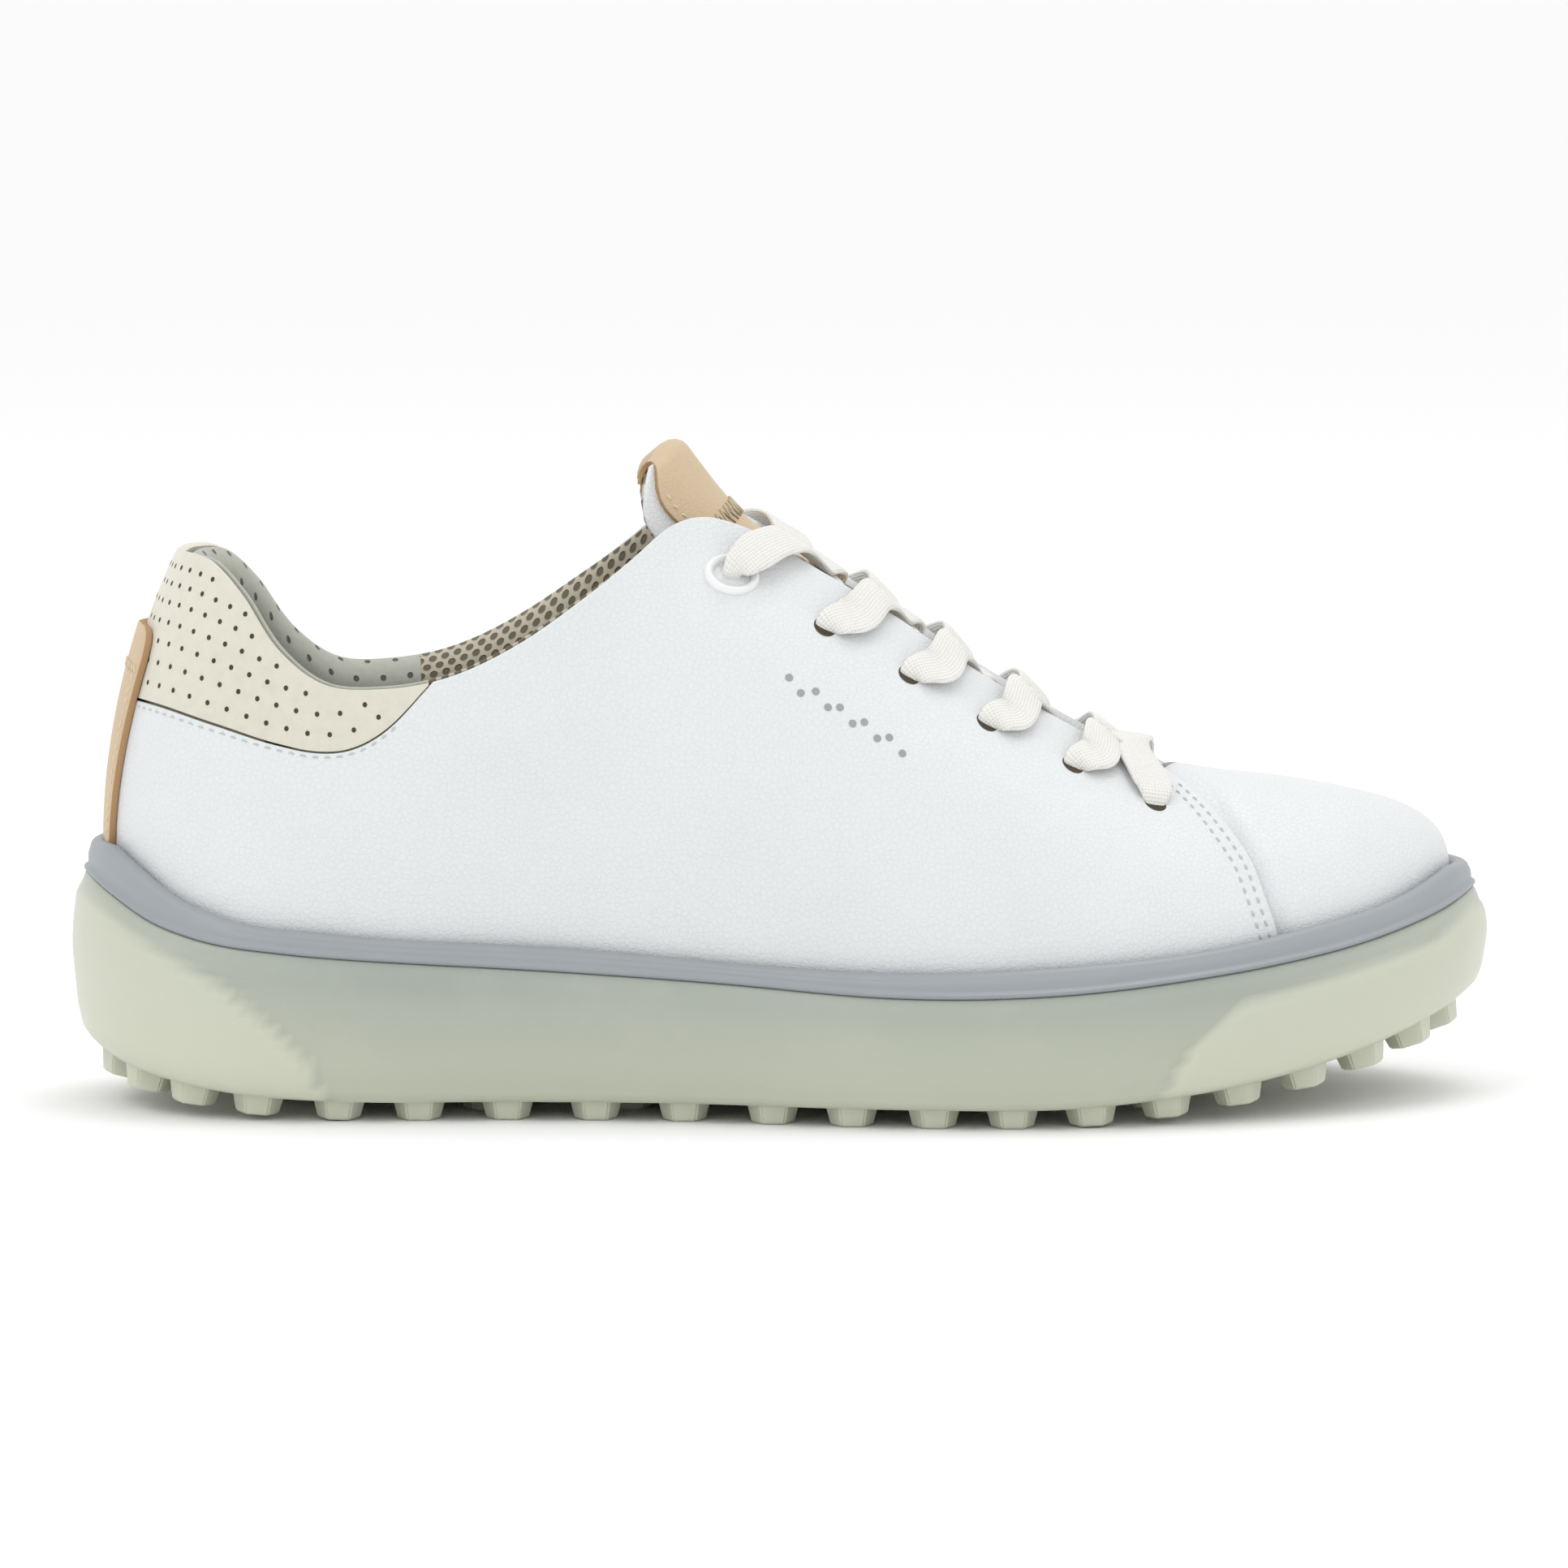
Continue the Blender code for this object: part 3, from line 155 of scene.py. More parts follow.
def through(keys):
    """A smooth curve through keys of (parameter, values...), as a function of the parameter."""
    at = np.array([k[0] for k in keys], float)
    values = np.array([k[1:] for k in keys], float)
    slopes = np.gradient(values, at, axis=0)

    def curve(x):
        x = np.clip(np.asarray(x, float), at[0], at[-1])
        i = np.clip(np.searchsorted(at, x) - 1, 0, len(at) - 2)
        step = at[i + 1] - at[i]
        q = ((x - at[i]) / step)[..., None]
        step = step[..., None]
        out = ((2 * q**3 - 3 * q**2 + 1) * values[i] + (q**3 - 2 * q**2 + q) * step * slopes[i]
               + (3 * q**2 - 2 * q**3) * values[i + 1] + (q**3 - q**2) * step * slopes[i + 1])
        return out[..., 0] if values.shape[1] == 1 else out

    return curve


def closed_outline():
    """The outsole's plan outline as two dense half curves by arc length: x, y and outward normal."""
    loop = OUTLINE[LATERAL] + OUTLINE[MEDIAL][-2:0:-1]
    points = np.array(loop + loop[:2] + loop[:1], float)[:len(loop) + 1]
    wrapped = np.vstack([points[-4:-1], points, points[1:4]])
    chord = np.concatenate([[0], np.cumsum(np.hypot(*np.diff(wrapped, axis=0).T))])
    curve = through([(c, *p) for c, p in zip(chord, wrapped)])
    toe = len(OUTLINE[LATERAL]) - 1
    halves = {}
    for side, start, end in ((LATERAL, 3, 3 + toe), (MEDIAL, 3 + len(loop), 3 + toe)):
        at = np.linspace(chord[start], chord[end], 900)
        line = curve(at)
        arc = np.concatenate([[0], np.cumsum(np.hypot(*np.diff(line, axis=0).T))])
        tangent = np.gradient(curve(np.linspace(chord[start], chord[end], 900)), arc, axis=0)
        tangent /= np.linalg.norm(tangent, axis=1)[:, None]
        normal = np.stack([-side * tangent[:, 1], side * tangent[:, 0]], axis=1)
        normal[0] = (-1, 0)
        halves[side] = (arc / arc[-1], line, normal)
    toe_normal = halves[LATERAL][2][-1] + halves[MEDIAL][2][-1]
    toe_normal /= np.linalg.norm(toe_normal)
    halves[LATERAL][2][-1] = halves[MEDIAL][2][-1] = toe_normal
    return halves


HALVES = closed_outline()
rim_top, rim_low, floor, sole_base = (through(k) for k in (RIM_TOP, RIM_LOW, FLOOR, SOLE_BASE))
top_line, ridge_shift = through(TOP_LINE), through(RIDGE_SHIFT)
lean_out, top_slope, ridge_fall = through(LEAN_OUT), through(TOP_SLOPE), through(RIDGE_FALL)
pull_low, pull_top = through(PULL_LOW), through(PULL_TOP)
collar_seam, vamp_seam = through(COLLAR_SEAM), through(VAMP_SEAM)


def plan(side, u, inset):
    """Plan points at share u of the half outline, moved in by inset, and their outward normals."""
    share, line, normal = HALVES[side]
    u = np.asarray(u, float)
    at = np.stack([np.interp(u, share, line[:, k]) for k in (0, 1)], axis=-1)
    out = np.stack([np.interp(u, share, normal[:, k]) for k in (0, 1)], axis=-1)
    out /= np.linalg.norm(out, axis=-1, keepdims=True)
    return at - out * np.asarray(inset, float)[..., None], out


def upper(side, u, t):
    """The upper's outer face: t is 0 at the feather line, 1 at the top line, and -1 at the floor."""
    u, t = np.broadcast_arrays(np.asarray(u, float), np.asarray(t, float))
    foot, out = plan(side, u, FEATHER_INSET)
    foot_z = rim_top(foot[..., 0]) - 4
    low = np.concatenate([foot, foot_z[..., None]], axis=-1)
    top = top_line(u).copy()
    half_width = np.where(u >= THROAT_END, 0, np.maximum(top[..., 1], 0))
    top[..., 1] = side * half_width + ridge_shift(u)
    up = np.array([0, 0, 1.])
    out3 = np.concatenate([out, np.zeros_like(out[..., :1])], axis=-1)
    across = out3 + up * (ridge_fall(u) * out[..., 0])[..., None]
    lean, slope = np.radians(lean_out(u))[..., None], np.radians(top_slope(u))[..., None]
    chord = np.linalg.norm(top - low, axis=-1, keepdims=True)
    handle_low = low + (up * np.cos(lean) + out3 * np.sin(lean)) * chord * pull_low(u)[..., None]
    handle_top = top + (across * np.cos(slope) - up * np.sin(slope)) * chord * pull_top(u)[..., None]
    q = np.clip(t, 0, 1)[..., None]
    face = ((1 - q)**3 * low + 3 * (1 - q)**2 * q * handle_low
            + 3 * (1 - q) * q**2 * handle_top + q**3 * top)
    skirt = np.clip(-t, 0, 1)[..., None]
    drop = (foot_z - floor(foot[..., 0]) - .8)[..., None]
    return face - skirt * (up * drop + out3 * 1.0)


def slope_normal(side, u, t):
    """The outer face's unit normals from its slopes along and up the shoe."""
    step = 1e-3
    t = np.clip(np.asarray(t, float), 0, 1)
    along = upper(side, np.minimum(u + step, 1), t) - upper(side, np.maximum(u - step, 0), t)
    rise = upper(side, u, np.minimum(t + step, 1)) - upper(side, u, np.maximum(t - step, 0))
    normal = np.cross(along, rise) * -side
    return normal / np.linalg.norm(normal, axis=-1, keepdims=True)


def outward(side, u, t):
    """Unit normals of the upper's outer face, pointing out. On the toe's ridge both sides agree."""
    u, t = np.broadcast_arrays(np.asarray(u, float), np.asarray(t, float))
    top = np.where(u >= THROAT_END, .94, 1)
    normal = slope_normal(side, u, np.minimum(t, top))
    ahead, behind = top_line(np.minimum(u + .01, 1)), top_line(np.maximum(u - .01, 0))
    ridge = np.stack([behind[..., 2] - ahead[..., 2], 0 * u, ahead[..., 0] - behind[..., 0]], axis=-1)
    ridge /= np.linalg.norm(ridge, axis=-1, keepdims=True)
    near = np.where(u >= THROAT_END, np.clip((t - .94) / .06, 0, 1), 0)[..., None]
    normal = normal * (1 - near) + ridge * near
    middle = middle_normal(side, u, t)
    near = np.clip(1 - np.minimum(u, 1 - u) / .02, 0, 1)[..., None]
    near = np.where((u > .5)[..., None] & (t > .94)[..., None], 0, near)
    normal = normal * (1 - near) + middle * near
    return normal / np.linalg.norm(normal, axis=-1, keepdims=True)


def middle_normal(side, u, t):
    """Normals in the upright plane through the outline's own normal, for the heel and toe middles."""
    low = np.clip(t - .02, 0, .96)
    rise = upper(side, u, low + .04) - upper(side, u, low)
    _, out = plan(side, u, 0 * u)
    reach = (rise[..., :2] * out).sum(axis=-1, keepdims=True)
    normal = np.concatenate([out * rise[..., 2:], -reach], axis=-1)
    return normal / np.linalg.norm(normal, axis=-1, keepdims=True)


def layer(side, u, t, depth):
    """A point depth millimetres in from the upper's outer face."""
    return upper(side, u, t) - outward(side, u, t) * np.asarray(depth, float)[..., None]


def share_where(test, low, high):
    """The parameter between low and high where test changes from true to false."""
    for _ in range(30):
        middle = (low + high) / 2
        low, high = (middle, high) if test(middle) else (low, middle)
    return (low + high) / 2


def collar_level(side, u):
    """The level t of the collar panel's lower seam."""
    def below(t):
        x, _, z = upper(side, u, t)
        return z < collar_seam(x)
    return share_where(below, .2, 1)


def vamp_station(side, t):
    """The station u of the front panel's rear seam."""
    def behind(u):
        x, _, z = upper(side, u, t)
        return x < vamp_seam(z)
    return share_where(behind, .6, .95)


def locate(side, x, z):
    """The station and level of the point of the upper with this x and z."""
    u, t = np.meshgrid(np.linspace(.4, .85, 181), np.linspace(.3, 1, 141))
    points = upper(side, u, t)
    best = np.argmin((points[..., 0] - x)**2 + (points[..., 2] - z)**2)
    return u.flat[best], t.flat[best]


def eyelet_frame(side, index):
    """Place of an eyelet: its point, outward normal, and the direction along the eyestay to the heel."""
    u, t = locate(side, *EYELETS[index])
    point, normal = upper(side, u, t), outward(side, u, t)
    along = upper(side, u - .01, t) - upper(side, u + .01, t)
    along -= normal * along.dot(normal)
    return point, normal, along / np.linalg.norm(along)


tongue_line = through(TONGUE)


def tongue(share, turn, depth=0.0):
    """A point of the tongue: share of its length, turn from -1 (lateral edge) to 1, depth under its face."""
    x, z, wide, deep, angle = tongue_line(share)
    before, after = tongue_line(max(share - .01, 0)), tongue_line(min(share + .01, 1))
    run = np.array([after[0] - before[0], 0, after[1] - before[1]])
    run /= np.linalg.norm(run)
    up = np.array([run[2], 0, -run[0]])
    turn = math.radians(angle) * turn
    across = np.array([0, 1., 0])
    face = np.array([x, 0, z]) + across * wide * math.sin(turn) - up * deep * (1 - math.cos(turn))
    normal = across * math.sin(turn) / wide + up * math.cos(turn) / deep
    normal /= np.linalg.norm(normal)
    return face - normal * depth, normal


def share_beside(index):
    """The share of the tongue that lies beside an eyelet pair."""
    x, z = EYELETS[index]
    shares = np.linspace(0, 1, 201)
    line = tongue_line(shares)
    return shares[np.argmin((line[:, 0] - x)**2 + (line[:, 1] - z)**2)]


def eyelet_axes(side, index):
    """Centre of an eyelet, with the ways out of it: along to the heel, and across to the throat."""
    point, normal, along = eyelet_frame(side, index)
    across = np.cross(normal, along)
    if across[1] * side > 0:
        across = -across
    return point, normal, along, across


def over_edge(side, index, ahead):
    """The lace lying over the throat's edge beside an eyelet, moved along it by a share."""
    u, _ = locate(side, *EYELETS[index])
    _, _, along, across = eyelet_axes(side, index)
    slant = LACE_SLANT if ahead else 0
    return layer(side, u + ahead, 1, -LACE_OVER), along + across * slant, 1


def near_hole(side, index, toward_throat, height, full, forward=0.0):
    """The lace at a distance from an eyelet and a height over the outer face there."""
    point, normal, along, across = eyelet_axes(side, index)
    place = point + across * toward_throat - along * forward + normal * height
    if forward == 0:
        return place, along, full
    width = along * toward_throat + across * forward
    return place, width / np.linalg.norm(width), full


def through_hole(side, index):
    """The lace dips into a hole from outside and turns back under the eyestay."""
    proud = GROMMET_LIP + GAP if index == 0 else 0
    under = LACE_UNDER + (1.2 if index == 0 else .2 if index < 4 else LAP_ROOM)
    ahead = 0 if index == len(EYELETS) - 1 else LACE_FORWARD
    return [near_hole(side, index, 4.3, proud + 1.6, 1, ahead * .5),
            near_hole(side, index, 1.9, proud + 1.6, .55, ahead * .2),
            near_hole(side, index, .5, proud + .6, 0), near_hole(side, index, 0, -1.2, 0),
            near_hole(side, index, 0, -3.8, 0), near_hole(side, index, .5, -under + .5, 0),
            near_hole(side, index, 2, -under, .4)]


def over_tongue(share, turn, height):
    """The lace over the tongue, clear of the label where there is one."""
    label = LABEL_THICK + GAP if share > LABEL_START / 12 - .04 else 0
    point, normal = tongue(share, turn)
    ahead, _ = tongue(min(share + .02, 1), turn)
    behind, _ = tongue(max(share - .02, 0), turn)
    return point + normal * (height + label), (ahead - behind) / np.linalg.norm(ahead - behind), 1


def crossing(side, index, over):
    """From under the eyestay beside one pair, over the tongue, to outside the next pair up."""
    start, end = share_beside(index), share_beside(index - 1)
    lowest = index == len(EYELETS) - 1
    lift = LACE_CLEAR + (LACE_CROSSING if over else 0)
    route = [over_tongue(start + (end - start) * part, side * turn, height)
             for part, turn, height in ((.02, .66, LACE_CLEAR), (.1, .42, LACE_CLEAR + .1), (.18, .2, lift),
                                        (.27, 0, lift), (.38, -.22, lift + (.45 if lowest else 0)))]
    return route + [over_edge(-side, index - 1, LACE_FORWARD_SHARE)]


def lace_half(side):
    """One half of the lace from the bottom pair to the tucked tail inside the top pair."""
    route = []
    for index in range(len(EYELETS) - 1, 0, -1):
        route += through_hole(side, index) + crossing(side, index, side == MEDIAL)
        side = -side
    route += through_hole(side, 0)[:-1]
    u, t = locate(side, *EYELETS[0])
    _, _, along = eyelet_frame(side, 0)
    for fall in (.05, .1, .2, .28):
        route.append((layer(side, u - .1 * fall, t - fall, LACE_UNDER + .8 + 8 * fall), along, .8))
    return route


def stud_places():
    """(x, y) of each stud: a row along the edge of each side, and staggered rows inside."""
    places = []
    for side in (LATERAL, MEDIAL):
        line = HALVES[side][1]
        length = np.hypot(*np.diff(line, axis=0).T).sum()
        count = round(length / STUD_PITCH)
        for i in range(count):
            at, _ = plan(side, (i + .5) / count, STUD_EDGE)
            places.append(tuple(at))
    edge = list(places)
    for row, x in enumerate(np.arange(-112, 120, STUD_PITCH * .86)):
        for y in np.arange(-48, 49, STUD_PITCH) + (STUD_PITCH / 2 if row % 2 else 0):
            inside = min(math.hypot(x - a, y - b) for a, b in edge)
            widths = [abs(np.interp(x, HALVES[s][1][:, 0], HALVES[s][1][:, 1])) for s in (LATERAL, MEDIAL)]
            if inside > STUD_PITCH * .74 and -widths[0] + 2 * STUD_EDGE < y < widths[1] - 2 * STUD_EDGE:
                places.append((x, y))
    return places


# ---- materials ----------------------------------------------------------------------------------

class Paint:
    """A Principled material with helpers that wire procedural detail into it."""

    def __init__(self, name, colour, roughness, coat=0.0, sheen=0.0, soft=0.0):
        self.material = bpy.data.materials.new(name)
        self.material.use_nodes = True
        self.tree = self.material.node_tree
        self.shader = self.tree.nodes["Principled BSDF"]
        self.colour, self.roughness = colour, roughness
        self.shader.inputs["Base Color"].default_value = (*colour, 1)
        self.shader.inputs["Roughness"].default_value = roughness
        self.shader.inputs["Coat Weight"].default_value = coat
        self.shader.inputs["Sheen Weight"].default_value = sheen
        self.shader.inputs["Subsurface Weight"].default_value = soft
        self.shader.inputs["Subsurface Radius"].default_value = (.004, .004, .003)
        self.shader.inputs["Subsurface Scale"].default_value = 1
        self.height = None
        self.base = None

    def node(self, kind, **values):
        node = self.tree.nodes.new(kind)
        for key, value in values.items():
            setattr(node, key, value)
        return node

    def link(self, a, b):
        self.tree.links.new(a, b)

    def math(self, operation, *values):
        node = self.node("ShaderNodeMath", operation=operation)
        for socket, value in zip(node.inputs, values):
            if isinstance(value, (int, float)):
                socket.default_value = value
            else:
                self.link(value, socket)
        return node.outputs[0]

    def place(self, uv=False):
        return self.node("ShaderNodeTexCoord").outputs["UV" if uv else "Object"]

    def noise(self, scale, detail, stretch=(1, 1, 1)):
        mapping = self.node("ShaderNodeMapping")
        mapping.inputs["Scale"].default_value = stretch
        self.link(self.place(), mapping.inputs["Vector"])
        noise = self.node("ShaderNodeTexNoise")
        noise.inputs["Scale"].default_value = scale
        noise.inputs["Detail"].default_value = detail
        noise.inputs["Roughness"].default_value = .55
        self.link(mapping.outputs[0], noise.inputs["Vector"])
        return noise.outputs["Fac"]

    def cells(self, scale):
        cells = self.node("ShaderNodeTexVoronoi", feature="DISTANCE_TO_EDGE")
        cells.inputs["Scale"].default_value = scale
        self.link(self.place(), cells.inputs["Vector"])
        return cells.outputs["Distance"]

    def ramp(self, value, low, high, to_low=0.0, to_high=1.0):
        node = self.node("ShaderNodeMapRange")
        node.inputs["From Min"].default_value = low
        node.inputs["From Max"].default_value = high
        node.inputs["To Min"].default_value = to_low
        node.inputs["To Max"].default_value = to_high
        self.link(value, node.inputs["Value"])
        return node.outputs[0]

    def tint(self, factor, colour):
        """Blends the colour so far toward another one by a factor."""
        mix = self.node("ShaderNodeMix", data_type="RGBA")
        self.link(factor, mix.inputs[0])
        if self.base is None:
            mix.inputs[6].default_value = (*self.colour, 1)
        else:
            self.link(self.base, mix.inputs[6])
        mix.inputs[7].default_value = (*colour, 1)
        self.base = mix.outputs[2]
        self.link(self.base, self.shader.inputs["Base Color"])

    def rough(self, factor, low, high):
        self.link(self.ramp(factor, 0, 1, low, high), self.shader.inputs["Roughness"])

    def raise_by(self, value, amount):
        """Adds a relief of that many millimetres."""
        scaled = self.math("MULTIPLY", value, amount * MM)
        self.height = scaled if self.height is None else self.math("ADD", self.height, scaled)

    def done(self):
        if self.height is not None:
            bump = self.node("ShaderNodeBump")
            bump.inputs["Strength"].default_value = 1
            bump.inputs["Distance"].default_value = 1
            self.link(self.height, bump.inputs["Height"])
            self.link(bump.outputs[0], self.shader.inputs["Normal"])
        return self.material

    def holes(self, across, up, size):
        """A factor that is 1 inside each of a staggered lattice of holes, from UVs in millimetres."""
        split = self.node("ShaderNodeSeparateXYZ")
        self.link(self.place(True), split.inputs[0])
        x = self.math("DIVIDE", split.outputs[0], across)
        y = self.math("DIVIDE", split.outputs[1], up)
        row = self.math("MODULO", self.math("FLOOR", y), 2)
        x = self.math("ADD", x, self.math("MULTIPLY", row, .5))
        fx = self.math("MULTIPLY", self.math("SUBTRACT", self.math("FRACT", x), .5), across)
        fy = self.math("MULTIPLY", self.math("SUBTRACT", self.math("FRACT", y), .5), up)
        square = self.math("ADD", self.math("MULTIPLY", fx, fx), self.math("MULTIPLY", fy, fy))
        distance = self.math("SQRT", square)
        return self.ramp(distance, size * 1.15, size * .85)


def leather(name, colour, shade, roughness, grain=.05):
    """Smooth leather: a fine cell grain, soft creases and slow changes of shade."""
    paint = Paint(name, colour, roughness, coat=.04)
    cells = paint.cells(900)
    fine = paint.noise(1600, 6)
    creases = paint.noise(70, 5, stretch=(1, 1, 1.9))
    paint.raise_by(paint.ramp(cells, 0, .12), grain)
    paint.raise_by(fine, grain * .7)
    paint.raise_by(creases, .22)
    paint.tint(paint.ramp(paint.noise(38, 5), .45, .75, 0, .55), shade)
    paint.rough(paint.noise(120, 4), roughness - .07, roughness + .1)
    return paint.done()


def nubuck():
    """Buffed leather with a short nap."""
    paint = Paint("beige_nubuck", (.68, .66, .565), .9, sheen=.25)
    paint.tint(paint.ramp(paint.noise(420, 6), .4, .75, 0, .55), (.60, .575, .475))
    paint.tint(paint.ramp(paint.noise(30, 3), .45, .7, 0, .4), (.745, .725, .635))
    paint.raise_by(paint.noise(1400, 6), .09)
    return paint.done()


def perforated(name, colour, dark, across, up, size, nap=.08):
    """A napped lining with a lattice of holes, tinted nearly black as painted shade inside them."""
    paint = Paint(name, colour, .92, sheen=.2)
    paint.tint(paint.ramp(paint.noise(500, 5), .4, .75, 0, .5), tuple(c * .82 for c in colour))
    holes = paint.holes(across, up, size)
    paint.raise_by(paint.noise(1500, 6), nap)
    paint.raise_by(holes, -.5)
    # painted shade: the holes are tinted toward the third colour for the shade inside them, on top of their
    # sunk bump
    paint.tint(holes, dark)
    return paint.done()


def woven(name, colour, dark, pitch, depth=.22, roughness=.85):
    """A braid: ribs that slant both ways from the middle, from UVs in millimetres, with painted shade in the
    grooves between the ribs.
    """
    paint = Paint(name, colour, roughness, sheen=.15)
    split = paint.node("ShaderNodeSeparateXYZ")
    paint.link(paint.place(True), split.inputs[0])
    slant = paint.math("ABSOLUTE", split.outputs[1])
    along = paint.math("ADD", split.outputs[0], paint.math("MULTIPLY", slant, .9))
    back = paint.math("SUBTRACT", split.outputs[0], paint.math("MULTIPLY", slant, .9))
    a = paint.math("SINE", paint.math("MULTIPLY", along, 2 * math.pi / pitch))
    b = paint.math("SINE", paint.math("MULTIPLY", back, 2 * math.pi / pitch))
    rib = paint.math("MULTIPLY", a, b)
    paint.raise_by(rib, depth * .5)
    paint.raise_by(paint.noise(2500, 4), .05)
    # painted shade: the grooves between the ribs are tinted toward the second colour
    paint.tint(paint.ramp(rib, .1, -.9, 0, .5), dark)
    return paint.done()


def frosted_rubber():
    """Milky rubber, darker at the waist where the midsole shows through, lighter at the ends and below."""
    paint = Paint("frosted_rubber", (.42, .45, .375), .42, coat=.12, soft=.35)
    split = paint.node("ShaderNodeSeparateXYZ")
    paint.link(paint.place(), split.inputs[0])
    x, z = split.outputs[0], split.outputs[2]
    ends = paint.ramp(paint.math("ABSOLUTE", x), .075, .13, 0, 1)
    low = paint.ramp(z, .026, .004, 0, 1)
    paint.tint(paint.ramp(z, .012, .030, 0, .75), (.325, .36, .33))
    paint.tint(paint.math("MULTIPLY", ends, .5), (.52, .545, .45))
    paint.tint(paint.math("MULTIPLY", low, .4), (.56, .58, .455))
    paint.tint(paint.ramp(paint.noise(55, 4), .5, .8, 0, .2), (.55, .57, .47))
    bumper = paint.node("ShaderNodeAttribute", attribute_name="bumper")
    paint.tint(paint.math("MULTIPLY", bumper.outputs["Fac"], .62), (.63, .645, .52))
    paint.raise_by(paint.noise(2200, 3), .03)
    paint.rough(paint.noise(90, 4), .34, .5)
    return paint.done()


def satin(name, colour, roughness, shade, fine=.03, coat=0.0):
    """A plain surface with a little unevenness in shade, relief and gloss."""
    paint = Paint(name, colour, roughness, coat=coat)
    paint.tint(paint.ramp(paint.noise(60, 5), .45, .8, 0, .5), shade)
    paint.raise_by(paint.noise(1800, 4), fine)
    paint.rough(paint.noise(150, 4), roughness - .06, roughness + .08)
    return paint.done()


def make_paints():
    return {
        "white_leather": leather("white_leather", (.735, .755, .765), (.70, .72, .735), .48),
        "tan_leather": leather("tan_leather", (.60, .46, .30), (.53, .395, .245), .52, .04),
        "tan_edge": satin("tan_cut_edge", (.42, .25, .12), .8, (.5, .31, .16), .08),
        "nubuck": nubuck(),
        # painted shade: the third colour of each lining is the shade inside its holes
        "lining_suede": perforated("suede_lining", (.46, .47, .41), (.10, .10, .08), 5.6, 4.2, .55),
        "lining_mesh": perforated("mesh_lining", (.52, .475, .37), (.14, .12, .08), 2.6, 2.0, .75, .05),
        "grey_rubber": satin("grey_midsole", (.31, .335, .355), .42, (.345, .365, .385)),
        "clear_rubber": frosted_rubber(),
        "foam": satin("foam", (.76, .72, .58), .95, (.68, .64, .5), .12),
        "board": satin("fibre_board", (.46, .36, .25), .9, (.38, .30, .2), .08),
        "stiffener": satin("stiffener", (.66, .62, .52), .85, (.6, .56, .46), .06),
        # painted shade: the second colour of the lace and of each thread is the shade in the grooves of its
        # braid
        "lace": woven("woven_lace", (.88, .87, .83), (.60, .58, .51), 1.15),
        "eyelet": satin("eyelet_enamel", (.86, .87, .87), .38, (.80, .82, .82), .015, .2),
        "thread": woven("thread", (.52, .55, .55), (.35, .37, .37), .35, .05),
        "tan_thread": woven("tan_thread", (.72, .60, .40), (.5, .4, .25), .35, .05),
        "dark_thread": woven("dark_thread", (.30, .28, .20), (.15, .14, .1), .35, .05),
        # painted shade: near-black discs stand for the shade inside the punched holes and lower eyelets
        "hole": satin("punched_hole_shade", (.055, .045, .025), .9, (.09, .07, .04), .02),
        # painted shade: grey discs stand for the shade inside the vent holes
        "vent": satin("vent_hole_shade", (.34, .35, .35), .9, (.28, .29, .29), .02),
        "steel": satin("spring_steel", (.5, .51, .53), .35, (.42, .43, .45), .01),
        "aglet": satin("lace_tip", (.84, .84, .81), .28, (.78, .78, .74), .01, .4),
    }


# ---- meshes -------------------------------------------------------------------------------------

def put(name, data):
    """A new object of the scene."""
    obj = bpy.data.objects.new(name, data)
    bpy.context.scene.collection.objects.link(obj)
    return obj


def finish_mesh(name, points, faces, paints, uvs=None, smooth=0, weld=False):
    """An object from points in millimetres, shaded smooth below an angle, or all over."""
    mesh = bpy.data.meshes.new(name)
    mesh.from_pydata([tuple(np.asarray(p, float) * MM) for p in points], [], faces)
    if uvs is not None:
        layer_uv = mesh.uv_layers.new(name="UVMap")
        flat = np.array([uvs[loop.vertex_index] for loop in mesh.loops], float)
        layer_uv.data.foreach_set("uv", flat.ravel())
    work = bmesh.new()
    work.from_mesh(mesh)
    if weld:
        bmesh.ops.remove_doubles(work, verts=work.verts, dist=2e-5)
    bmesh.ops.recalc_face_normals(work, faces=work.faces)
    work.to_mesh(mesh)
    work.free()
    mesh.shade_smooth()
    if smooth:
        mesh.set_sharp_from_angle(angle=math.radians(smooth))
    for paint in paints:
        mesh.materials.append(PAINTS[paint])
    return put(name, mesh)


def grid_faces(columns, rows, first=0):
    return [(first + c * rows + r, first + (c + 1) * rows + r,
             first + (c + 1) * rows + r + 1, first + c * rows + r + 1)
            for c in range(columns - 1) for r in range(rows - 1)]


def lengths(points):
    """Distances along a line of points, from its start."""
    return np.concatenate([[0], np.cumsum(np.linalg.norm(np.diff(points, axis=0), axis=1))])


